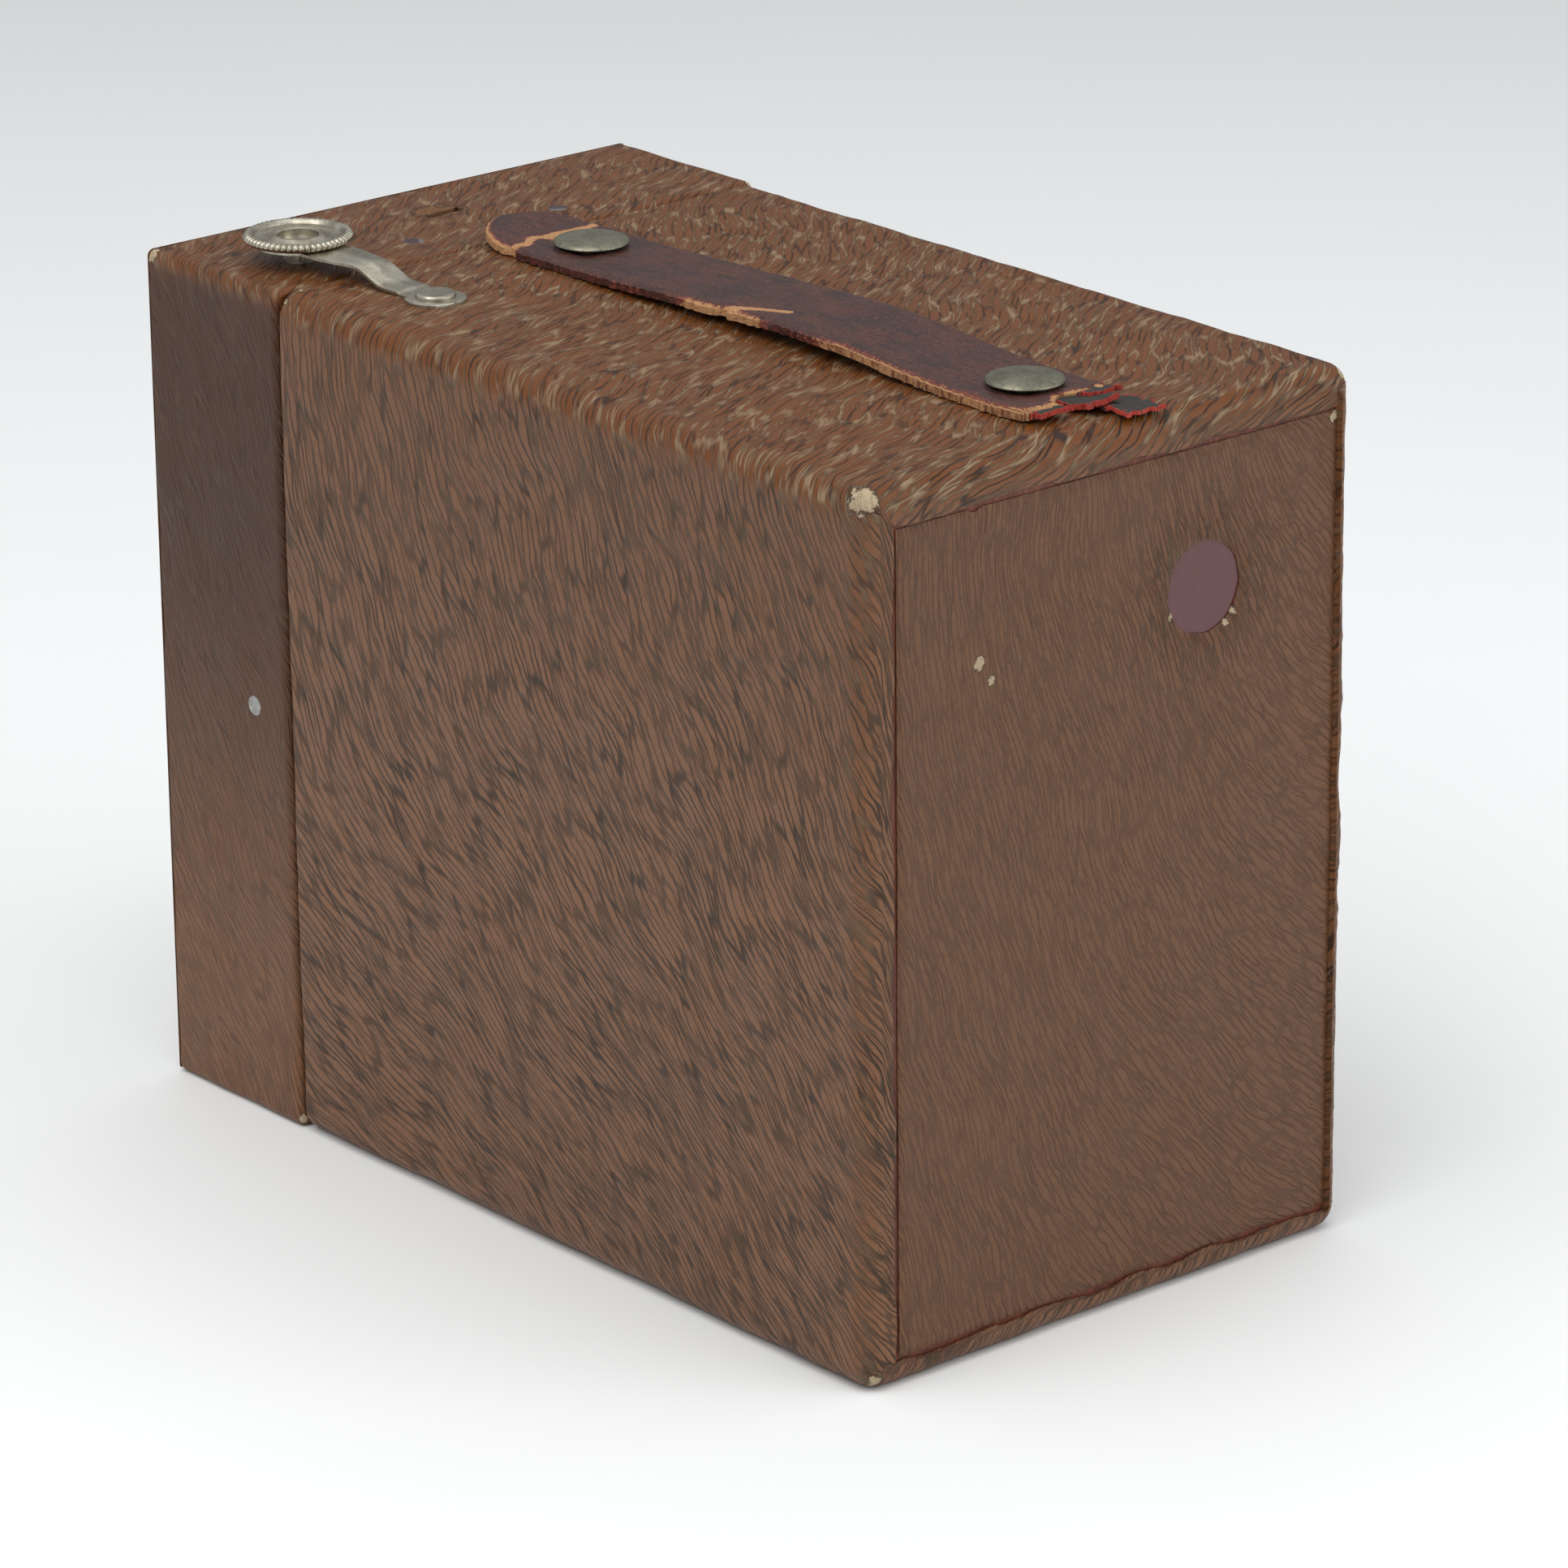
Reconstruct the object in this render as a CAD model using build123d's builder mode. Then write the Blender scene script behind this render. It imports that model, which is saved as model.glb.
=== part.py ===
from build123d import *
import os
from math import cos, radians, sin

# Roll-film box camera for 4 x 5 inch pictures, in millimetres.
# Z is up with 0 at the base, Y runs from the lens end to the back, X runs across.
# The origin is the middle of the base. Seen by its user, -X is the camera's right side.

os.makedirs("parts", exist_ok=True)

# Driving dimensions
LENGTH = 216.0
WIDTH = 122.0
HEIGHT = 175.0
FRONT_DEPTH = 43.0      # the hinged front section, lens end to seam
SEAM = 1.0              # gap between front section and case
LEATHER = 0.8
BOARD = 6.0             # mahogany boards of the case
RIM = 5.4               # thinner boards of the front section
CASE_EDGE = 4.9         # rounding of the case's long edges
CASE_CORNER = 3.0       # rounding of its two upright rear edges
FRONT_EDGE = 1.6        # crisper rounding of the front section
EDGE_LESS = 0.1         # the end edges are rounded this much less
FIT = 0.05              # radial clearance of a running fit
END_GAP = 0.6           # free space at each end of a roller or a shaft
FILM_WIDTH = 101.4

# Planes and faces worked out from them
FRONT_Y = -LENGTH / 2
BACK_Y = LENGTH / 2
SEAM_Y = FRONT_Y + FRONT_DEPTH
CASE_Y = SEAM_Y + SEAM / 2
RIM_Y = SEAM_Y - SEAM / 2
SIDE_X = WIDTH / 2
WOOD_X = SIDE_X - LEATHER
INNER_X = WOOD_X - BOARD
WOOD_TOP = HEIGHT - LEATHER
INNER_TOP = WOOD_TOP - BOARD
INNER_BASE = LEATHER + BOARD
BACK_WOOD_Y = BACK_Y - LEATHER
INNER_BACK_Y = BACK_WOOD_Y - BOARD
MID_Z = HEIGHT / 2
RIM_INNER_X = WOOD_X - RIM
RIM_INNER_TOP = WOOD_TOP - RIM
RIM_INNER_BASE = LEATHER + RIM
FACE_WOOD_Y = FRONT_Y + LEATHER
FACE_INNER_Y = FACE_WOOD_Y + BOARD

# Red window and back panel
WINDOW_X = -23.0
WINDOW_Z = 139.0
WINDOW_R = 9.0
WINDOW_SEAT = 1.2       # depth and extra radius of the seat for the window
PANEL_LEFT_X = 53.0
PANEL_RIGHT_X = -57.0
PANEL_TOP_Z = 166.5
PANEL_BASE_Z = 5.8

# Strap and its studs
STRAP_WIDTH = 25.0
STRAP_THICK = 2.4
STRAP_FRONT_Y = -69.0
STRAP_BACK_Y = 99.0
STRAP_LIE = 0.3         # gap under the strap's ends
STRAP_ARCH = 3.0        # rise of the strap's middle
STUD_FRONT_Y = -43.0
STUD_BACK_Y = 83.5
STUD_SHANK_R = 2.5
STUD_HEAD_R = 7.5
STUD_HEAD_Z = HEIGHT + 3.2
STUD_HEAD_THICK = 1.4
NUT_THICK = 2.4

# Spring latch
RIVET_X = 41.0
RIVET_Y = -40.0
RING_X = 43.5
RING_Y = -80.5
RING_R = 11.0
RING_HOLE_R = 4.0
LATCH_LIFT = 3.2        # underside of the latch above the top
LATCH_PLATE = 0.8
LATCH_ROOT_Y = -46.5    # end of the riveted foot, where the arm springs up

# Hinges on the camera's right side
HINGE_X = -SIDE_X - 2.4
BARREL_R = 2.0
KNUCKLE_STEP = 0.9      # the leaf's web starts this far from the hinge line
WEB_RISE = 0.5
WEB_TOP = 1.6
WEB_DEEP = 1.0
HINGE_PIN_R = 1.0
LEAF = 0.8
HINGE_HALF = 15.0
KNUCKLE = 5.0           # half height of the middle knuckle
HINGE_Z = (40.0, 135.0)
PLATE_NEAR = 2.4        # from the hinge line to the near edge of a leaf
PLATE_FAR = 15.0
KNUCKLE_GAP = 0.3
HINGE_SCREW_R = 1.1
SCREW_APART = 9.0       # height between one screw of a leaf and the next
HINGE_SCREW_LONG = 5.0  # depth below the leather's face
HINGE_SCREW_HEAD_R = 1.9
HINGE_SCREW_HEAD = 0.5

# Film transport
SPOOL_Y = -42.0
TAKE_UP_Z = 151.0
SUPPLY_Z = HEIGHT - TAKE_UP_Z
CORE_R = 6.0
ROLL_R = 10.0
FLANGE_R = 13.0
FLANGE = 1.0
SPOOL_PIN_R = 2.5
ROLLER_R = 4.0
ROLLER_PIN_R = 1.5
ROLLER_Y = 94.4
ROLLER_TOP_Z = 156.5
ROLLER_BASE_Z = HEIGHT - ROLLER_TOP_Z
FILM = 0.3
PIN_SEAT = 4.0          # depth of a pin in a side board
SPOOL_PLAY = 0.2        # play of the film between the flanges
SPOOL_HALF = FILM_WIDTH / 2 + FLANGE + SPOOL_PLAY

# Cone and film gate
GATE_Y = 95.8
GATE = 2.4
PICTURE_X = 49.0        # half width of the picture
PICTURE_Z = 62.0        # half height of the picture
CONE_WALL = 2.0
CONE_FRONT_Y = -58.0
CONE_FRONT_HALF = 26.0
COLLAR_HALF_Z = 32.0
MOUTH_SHEET = 1.0
MOUTH_BACK_Y = -56.0
MOUTH_FRONT_Y = SEAM_Y - 3.5

# Lens, shutter and stops
LENS_BOARD_Y = -79.5    # front face of the lens board
LENS_BOARD = 6.0
LENS_R = 12.4
BARREL_OUT = 15.0
BARREL_LAP = 0.5        # overlap of the flange with the barrel
LENS_FLANGE_R = 20.0
FRONT_OPENING_R = 17.0
PLATE_Y = -87.4         # front face of the shutter plate
PLATE = 1.0
DISC_Y = -82.2
DISC = 0.6
DISC_R = 34.0
DISC_PIVOT_Z = MID_Z - 20.0
LEVER_X = -36.0
LEVER_Z = 90.0
LEVER_Y = -85.1
LEVER = 1.0
LEVER_TILT = 12.0       # degrees up, as the lever rests
STOP_Y = -89.0
STOP = 1.0
STOP_STEP = 18.0        # from one stop to the next
STOP_HALF = 12.0
STOP_TAB = 8.0
SCREW_Y = -76.5         # screws into the edge of the lens board

# Finder
FINDER_X = -38.0
FINDER_Z = 149.0
FINDER_Y = -92.0
FINDER_LENS_R = 7.0
SCREEN_Y = 16.0         # size of the ground glass
SCREEN_Z = 24.0


def case_block(inset):
    """The case's outer form as a box with rounded long and rear edges."""
    with BuildPart() as block:
        with BuildSketch(Plane.XZ.offset(-CASE_Y - inset)):
            with Locations((0, MID_Z)):
                RectangleRounded(WIDTH - 2 * inset, HEIGHT - 2 * inset, CASE_EDGE - inset)
        extrude(amount=-(BACK_Y - CASE_Y - 2 * inset))
        rear = block.faces().sort_by(Axis.Y)[-1]
        fillet(rear.edges(), CASE_CORNER - inset)
    return block.part


def front_block(inset):
    """The front section's outer form, drawn in by inset on all sides."""
    with BuildPart() as block:
        with BuildSketch(Plane.XZ.offset(-FRONT_Y - inset)):
            with Locations((0, MID_Z)):
                RectangleRounded(WIDTH - 2 * inset, HEIGHT - 2 * inset, FRONT_EDGE - inset)
        extrude(amount=-(RIM_Y - FRONT_Y - 2 * inset))
        fillet(block.faces().sort_by(Axis.Y)[0].edges(), FRONT_EDGE - inset - EDGE_LESS)
        fillet(block.faces().sort_by(Axis.Y)[-1].edges(), FRONT_EDGE - inset - EDGE_LESS)
    return block.part


def screw_spots(direction, z):
    """(Y, Z) of the three screws of one leaf; direction is 1 on the case and -1 on the front."""
    middle = SEAM_Y + direction * (PLATE_NEAR + PLATE_FAR) / 2
    near_y = middle - direction
    far_y = middle + 2 * direction
    return [(near_y, z - SCREW_APART), (far_y, z), (near_y, z + SCREW_APART)]


with BuildPart() as hinge_screw_bores:
    with BuildSketch(Plane.YZ.offset(-SIDE_X)):
        for z in HINGE_Z:
            with Locations(*screw_spots(1, z), *screw_spots(-1, z)):
                Circle(HINGE_SCREW_R)
    extrude(amount=HINGE_SCREW_LONG)

case_outer = case_block(0.0)
case_wood = case_block(LEATHER)
front_outer = front_block(0.0)
front_wood = front_block(LEATHER)

# ---------------------------------------------------------------- case boards

SPOOL_SPOTS = ((SPOOL_Y, TAKE_UP_Z), (SPOOL_Y, SUPPLY_Z))
ROLLER_SPOTS = ((ROLLER_Y, ROLLER_TOP_Z), (ROLLER_Y, ROLLER_BASE_Z))
STUD_SPOTS = ((0.0, STUD_FRONT_Y), (0.0, STUD_BACK_Y))
RIVET_SHANK_R = 1.5
KEY_BUSH_R = 4.5
TRIPOD_R = 3.175        # bore of the tripod bush
TRIPOD_OUT = 7.0
TRIPOD_LENGTH = 5.6
TRIPOD_Y = -10.0

with BuildPart() as case_top_board:
    add(case_wood)
    split(bisect_by=Plane.XY.offset(INNER_TOP), keep=Keep.TOP)
    with BuildSketch(Plane.XY.offset(HEIGHT)):
        with Locations(*STUD_SPOTS):
            Circle(STUD_SHANK_R)
        with Locations((RIVET_X, RIVET_Y)):
            Circle(RIVET_SHANK_R)
    extrude(amount=-2 * BOARD, mode=Mode.SUBTRACT)
case_top_board.part.label = "case_top_board"
export_step(case_top_board.part, "parts/case_top_board.step")

with BuildPart() as case_base_board:
    add(case_wood)
    split(bisect_by=Plane.XY.offset(INNER_BASE), keep=Keep.BOTTOM)
    with BuildSketch(Plane.XY):
        with Locations((0, TRIPOD_Y)):
            Circle(TRIPOD_OUT)
    extrude(amount=2 * BOARD, mode=Mode.SUBTRACT)
case_base_board.part.label = "case_base_board"
export_step(case_base_board.part, "parts/case_base_board.step")

with BuildPart() as case_left_board:
    add(case_wood)
    split(bisect_by=Plane.YZ.offset(INNER_X), keep=Keep.TOP)
    split(bisect_by=Plane.XY.offset(INNER_TOP), keep=Keep.BOTTOM)
    split(bisect_by=Plane.XY.offset(INNER_BASE), keep=Keep.TOP)
    with BuildSketch(Plane.YZ.offset(INNER_X)):
        with Locations(*SPOOL_SPOTS):
            Circle(SPOOL_PIN_R)
        with Locations(*ROLLER_SPOTS):
            Circle(ROLLER_PIN_R)
    extrude(amount=PIN_SEAT, mode=Mode.SUBTRACT)
case_left_board.part.label = "case_left_board"
export_step(case_left_board.part, "parts/case_left_board.step")

with BuildPart() as case_right_board:
    add(case_wood)
    split(bisect_by=Plane.YZ.offset(-INNER_X), keep=Keep.BOTTOM)
    split(bisect_by=Plane.XY.offset(INNER_TOP), keep=Keep.BOTTOM)
    split(bisect_by=Plane.XY.offset(INNER_BASE), keep=Keep.TOP)
    with BuildSketch(Plane.YZ.offset(-INNER_X)):
        with Locations((SPOOL_Y, SUPPLY_Z)):
            Circle(SPOOL_PIN_R)
        with Locations(*ROLLER_SPOTS):
            Circle(ROLLER_PIN_R)
    extrude(amount=-PIN_SEAT, mode=Mode.SUBTRACT)
    with BuildSketch(Plane.YZ.offset(-INNER_X)):
        with Locations((SPOOL_Y, TAKE_UP_Z)):
            Circle(KEY_BUSH_R)
    extrude(amount=-2 * BOARD, mode=Mode.SUBTRACT)
    add(hinge_screw_bores.part, mode=Mode.SUBTRACT)
case_right_board.part.label = "case_right_board"
export_step(case_right_board.part, "parts/case_right_board.step")

with BuildPart() as case_back_board:
    with BuildSketch(Plane.XZ.offset(-INNER_BACK_Y)):
        with Locations((0, MID_Z)):
            Rectangle(2 * INNER_X, INNER_TOP - INNER_BASE)
        with Locations((WINDOW_X, WINDOW_Z)):
            Circle(WINDOW_R - 1, mode=Mode.SUBTRACT)
    extrude(amount=-BOARD)
    with BuildSketch(Plane.XZ.offset(-BACK_WOOD_Y)):
        with Locations((WINDOW_X, WINDOW_Z)):
            Circle(WINDOW_R + WINDOW_SEAT)
    extrude(amount=WINDOW_SEAT, mode=Mode.SUBTRACT)
case_back_board.part.label = "case_back_board"
export_step(case_back_board.part, "parts/case_back_board.step")

# --------------------------------------------------- leather covering of the case

with BuildPart() as case_leather:
    add(case_outer)
    split(bisect_by=Plane.XY.offset(LEATHER), keep=Keep.TOP)
    add(case_wood, mode=Mode.SUBTRACT)
    with BuildSketch(Plane.XZ.offset(-CASE_Y)):
        with Locations((0, MID_Z)):
            Rectangle(2 * INNER_X, INNER_TOP - INNER_BASE)
    extrude(amount=-2 * LEATHER, mode=Mode.SUBTRACT)
    with BuildSketch(Plane.XZ.offset(-BACK_WOOD_Y)):
        with Locations(((PANEL_LEFT_X + PANEL_RIGHT_X) / 2, (PANEL_TOP_Z + PANEL_BASE_Z) / 2)):
            Rectangle(PANEL_LEFT_X - PANEL_RIGHT_X, PANEL_TOP_Z - PANEL_BASE_Z)
    extrude(amount=-2 * LEATHER, mode=Mode.SUBTRACT)
    with BuildSketch(Plane.XY.offset(WOOD_TOP)):
        with Locations(*STUD_SPOTS):
            Circle(STUD_SHANK_R)
        with Locations((RIVET_X, RIVET_Y)):
            Circle(RIVET_SHANK_R)
    extrude(amount=2 * LEATHER, mode=Mode.SUBTRACT)
    with BuildSketch(Plane.YZ.offset(-WOOD_X)):
        with Locations((SPOOL_Y, TAKE_UP_Z)):
            Circle(KEY_BUSH_R)
    extrude(amount=-2 * LEATHER, mode=Mode.SUBTRACT)
    add(hinge_screw_bores.part, mode=Mode.SUBTRACT)
case_leather.part.label = "case_leather"
export_step(case_leather.part, "parts/case_leather.step")

with BuildPart() as case_base_leather:
    add(case_outer)
    split(bisect_by=Plane.XY.offset(LEATHER), keep=Keep.BOTTOM)
    with BuildSketch(Plane.XY):
        with Locations((0, TRIPOD_Y)):
            Circle(TRIPOD_OUT)
    extrude(amount=LEATHER, mode=Mode.SUBTRACT)
case_base_leather.part.label = "case_base_leather"
export_step(case_base_leather.part, "parts/case_base_leather.step")

with BuildPart() as back_leather:
    with BuildSketch(Plane.XZ.offset(-BACK_WOOD_Y)):
        with Locations(((PANEL_LEFT_X + PANEL_RIGHT_X) / 2, (PANEL_TOP_Z + PANEL_BASE_Z) / 2)):
            Rectangle(PANEL_LEFT_X - PANEL_RIGHT_X, PANEL_TOP_Z - PANEL_BASE_Z)
        with Locations((WINDOW_X, WINDOW_Z)):
            Circle(WINDOW_R, mode=Mode.SUBTRACT)
    extrude(amount=-LEATHER)
back_leather.part.label = "back_leather"
export_step(back_leather.part, "parts/back_leather.step")

with BuildPart() as red_window:
    with BuildSketch(Plane.XZ.offset(-BACK_WOOD_Y)):
        with Locations((WINDOW_X, WINDOW_Z)):
            Circle(WINDOW_R + WINDOW_SEAT)
    extrude(amount=WINDOW_SEAT)
red_window.part.label = "red_window"
export_step(red_window.part, "parts/red_window.step")

with BuildPart() as tripod_bush:
    with BuildSketch(Plane.XY):
        with Locations((0, TRIPOD_Y)):
            Circle(TRIPOD_OUT)
            Circle(TRIPOD_R, mode=Mode.SUBTRACT)
    extrude(amount=TRIPOD_LENGTH)
tripod_bush.part.label = "tripod_bush"
export_step(tripod_bush.part, "parts/tripod_bush.step")

# ------------------------------------------------ light trap, cone and film gate

with BuildPart() as mouth_frame:
    with BuildSketch(Plane.XZ.offset(-MOUTH_FRONT_Y)):
        with Locations((0, MID_Z)):
            Rectangle(2 * INNER_X, INNER_TOP - INNER_BASE)
            Rectangle(2 * (INNER_X - MOUTH_SHEET), INNER_TOP - INNER_BASE - 2 * MOUTH_SHEET,
                      mode=Mode.SUBTRACT)
    extrude(amount=-(MOUTH_BACK_Y - MOUTH_FRONT_Y))
mouth_frame.part.label = "mouth_frame"
export_step(mouth_frame.part, "parts/mouth_frame.step")

with BuildPart() as light_cone:
    for wall, mode in ((CONE_WALL, Mode.ADD), (0.0, Mode.SUBTRACT)):
        with BuildSketch(Plane.XZ.offset(-CONE_FRONT_Y)):
            with Locations((0, MID_Z)):
                Rectangle(2 * (CONE_FRONT_HALF + wall), 2 * (CONE_FRONT_HALF + wall))
        with BuildSketch(Plane.XZ.offset(-GATE_Y)):
            with Locations((0, MID_Z)):
                Rectangle(2 * (PICTURE_X + wall), 2 * (PICTURE_Z + wall))
        loft(mode=mode)
    with BuildSketch(Plane.XZ.offset(-CONE_FRONT_Y)):
        with Locations((0, MID_Z)):
            Rectangle(2 * (INNER_X - MOUTH_SHEET), 2 * COLLAR_HALF_Z)
            Rectangle(2 * CONE_FRONT_HALF, 2 * CONE_FRONT_HALF, mode=Mode.SUBTRACT)
    extrude(amount=CONE_WALL)
light_cone.part.label = "light_cone"
export_step(light_cone.part, "parts/light_cone.step")

with BuildPart() as film_gate:
    with BuildSketch(Plane.XZ.offset(-GATE_Y)):
        with Locations((0, MID_Z)):
            Rectangle(2 * INNER_X, 2 * (PICTURE_Z + CONE_WALL))
            Rectangle(2 * PICTURE_X, 2 * PICTURE_Z, mode=Mode.SUBTRACT)
    extrude(amount=-GATE)
film_gate.part.label = "film_gate"
export_step(film_gate.part, "parts/film_gate.step")

# -------------------------------------------------------------- film transport

for name, (y, z) in (("upper_roller", ROLLER_SPOTS[0]), ("lower_roller", ROLLER_SPOTS[1])):
    with BuildPart() as guide_roller:
        with BuildSketch(Plane.YZ.offset(-INNER_X + END_GAP)):
            with Locations((y, z)):
                Circle(ROLLER_R)
                Circle(ROLLER_PIN_R + FIT, mode=Mode.SUBTRACT)
        extrude(amount=2 * (INNER_X - END_GAP))
    guide_roller.part.label = name
    export_step(guide_roller.part, f"parts/{name}.step")

ROLLER_PIN_REACH = 8.0
SPOOL_PIN_REACH = 6.0
with BuildPart() as transport_pins:
    for side in (1, -1):
        with BuildSketch(Plane.YZ.offset(side * (INNER_X + PIN_SEAT))):
            with Locations(*ROLLER_SPOTS):
                Circle(ROLLER_PIN_R)
        extrude(amount=-side * (PIN_SEAT + ROLLER_PIN_REACH))
    with BuildSketch(Plane.YZ.offset(INNER_X + PIN_SEAT)):
        with Locations(*SPOOL_SPOTS):
            Circle(SPOOL_PIN_R)
    extrude(amount=-(PIN_SEAT + SPOOL_PIN_REACH))
    with BuildSketch(Plane.YZ.offset(-INNER_X - PIN_SEAT)):
        with Locations((SPOOL_Y, SUPPLY_Z)):
            Circle(SPOOL_PIN_R)
    extrude(amount=PIN_SEAT + SPOOL_PIN_REACH)
transport_pins.part.label = "transport_pins"
export_step(transport_pins.part, "parts/transport_pins.step")

KEY_SLOT_WIDE = 5.6
KEY_SLOT_HIGH = 2.4
KEY_SLOT_DEEP = 6.0
BORE_DEEP = 8.0
for name, z in (("take_up_spool", TAKE_UP_Z), ("supply_spool", SUPPLY_Z)):
    with BuildPart() as spool:
        with BuildSketch(Plane.YZ.offset(-SPOOL_HALF)):
            with Locations((SPOOL_Y, z)):
                Circle(CORE_R)
        extrude(amount=2 * SPOOL_HALF)
        for start in (-SPOOL_HALF, SPOOL_HALF - FLANGE):
            with BuildSketch(Plane.YZ.offset(start)):
                with Locations((SPOOL_Y, z)):
                    Circle(FLANGE_R)
            extrude(amount=FLANGE)
        with BuildSketch(Plane.YZ.offset(SPOOL_HALF)):
            with Locations((SPOOL_Y, z)):
                Circle(SPOOL_PIN_R + FIT)
        extrude(amount=-BORE_DEEP, mode=Mode.SUBTRACT)
        with BuildSketch(Plane.YZ.offset(-SPOOL_HALF)):
            with Locations((SPOOL_Y, z)):
                Circle(SPOOL_PIN_R + FIT)
                Rectangle(KEY_SLOT_WIDE, KEY_SLOT_HIGH)
        extrude(amount=BORE_DEEP, mode=Mode.SUBTRACT)
    spool.part.label = name
    export_step(spool.part, f"parts/{name}.step")

for name, z in (("take_up_film", TAKE_UP_Z), ("supply_film", SUPPLY_Z)):
    with BuildPart() as film_roll:
        with BuildSketch(Plane.YZ.offset(-FILM_WIDTH / 2)):
            with Locations((SPOOL_Y, z)):
                Circle(ROLL_R)
                Circle(CORE_R, mode=Mode.SUBTRACT)
        extrude(amount=FILM_WIDTH)
    film_roll.part.label = name
    export_step(film_roll.part, f"parts/{name}.step")

# The stretched film leaves each roll at its outer side and turns round both rollers.
FILM_GAP = 0.4
film_top = TAKE_UP_Z + ROLL_R + FILM_GAP
turn_r = ROLLER_R + FILM_GAP
with BuildPart() as film_strip:
    with BuildSketch(Plane.YZ.offset(-FILM_WIDTH / 2)):
        with BuildLine():
            Line((SPOOL_Y, film_top), (ROLLER_Y, ROLLER_TOP_Z + turn_r))
            CenterArc((ROLLER_Y, ROLLER_TOP_Z), turn_r, 0, 90)
            Line((ROLLER_Y + turn_r, ROLLER_TOP_Z), (ROLLER_Y + turn_r, ROLLER_BASE_Z))
            CenterArc((ROLLER_Y, ROLLER_BASE_Z), turn_r, -90, 90)
            Line((ROLLER_Y, ROLLER_BASE_Z - turn_r), (SPOOL_Y, HEIGHT - film_top))
        trace(line_width=FILM)
    extrude(amount=FILM_WIDTH)
film_strip.part.label = "film_strip"
export_step(film_strip.part, "parts/film_strip.step")

KEY_SHAFT_R = 2.5
KEY_FLANGE_R = 7.5
KEY_FLANGE = 1.0
with BuildPart() as key_bush:
    with BuildSketch(Plane.YZ.offset(-INNER_X)):
        with Locations((SPOOL_Y, TAKE_UP_Z)):
            Circle(KEY_BUSH_R)
    extrude(amount=-(SIDE_X - INNER_X))
    with BuildSketch(Plane.YZ.offset(-SIDE_X)):
        with Locations((SPOOL_Y, TAKE_UP_Z)):
            Circle(KEY_FLANGE_R)
    extrude(amount=-KEY_FLANGE)
    with BuildSketch(Plane.YZ.offset(-INNER_X)):
        with Locations((SPOOL_Y, TAKE_UP_Z)):
            Circle(KEY_SHAFT_R + FIT)
    extrude(amount=-2 * BOARD, mode=Mode.SUBTRACT)
key_bush.part.label = "key_bush"
export_step(key_bush.part, "parts/key_bush.step")

KEY_COLLAR_R = 4.0
KEY_COLLAR_X = -SIDE_X - KEY_FLANGE - KNUCKLE_GAP
KEY_COLLAR = 2.2
KEY_WING = 12.0         # reach of the wing
KEY_WING_WIDE = 19.0
KEY_WING_THICK = 1.8
WING_SUNK = 0.5         # depth of the wing in its collar
WING_FLAT = 0.4         # flat left between the wing's round corners
KEY_BLADE_WIDE = 4.8
KEY_BLADE_HIGH = 1.6
with BuildPart() as winding_key:
    with BuildSketch(Plane.YZ.offset(-SPOOL_HALF - END_GAP)):
        with Locations((SPOOL_Y, TAKE_UP_Z)):
            Circle(KEY_SHAFT_R)
    extrude(amount=KEY_COLLAR_X + SPOOL_HALF + END_GAP)
    with BuildSketch(Plane.YZ.offset(KEY_COLLAR_X)):
        with Locations((SPOOL_Y, TAKE_UP_Z)):
            Circle(KEY_COLLAR_R)
    extrude(amount=-KEY_COLLAR)
    with BuildSketch(Plane.YZ.offset(-SPOOL_HALF - END_GAP)):
        with Locations((SPOOL_Y, TAKE_UP_Z)):
            Rectangle(KEY_BLADE_WIDE, KEY_BLADE_HIGH)
    extrude(amount=KEY_SLOT_DEEP - END_GAP)
    with BuildSketch(Plane.XY.offset(TAKE_UP_Z - KEY_WING_THICK / 2)):
        with Locations((KEY_COLLAR_X - KEY_COLLAR - KEY_WING / 2 + WING_SUNK, SPOOL_Y)):
            RectangleRounded(KEY_WING, KEY_WING_WIDE, KEY_WING / 2 - WING_FLAT)
        with Locations((KEY_COLLAR_X - KEY_COLLAR - KEY_WING / 2, SPOOL_Y - KEY_WING_WIDE / 4),
                       (KEY_COLLAR_X - KEY_COLLAR - KEY_WING / 2, SPOOL_Y + KEY_WING_WIDE / 4)):
            Circle(KEY_WING / 6, mode=Mode.SUBTRACT)
    extrude(amount=KEY_WING_THICK)
winding_key.part.label = "winding_key"
export_step(winding_key.part, "parts/winding_key.step")

# ------------------------------------------------------------- strap and studs

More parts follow.
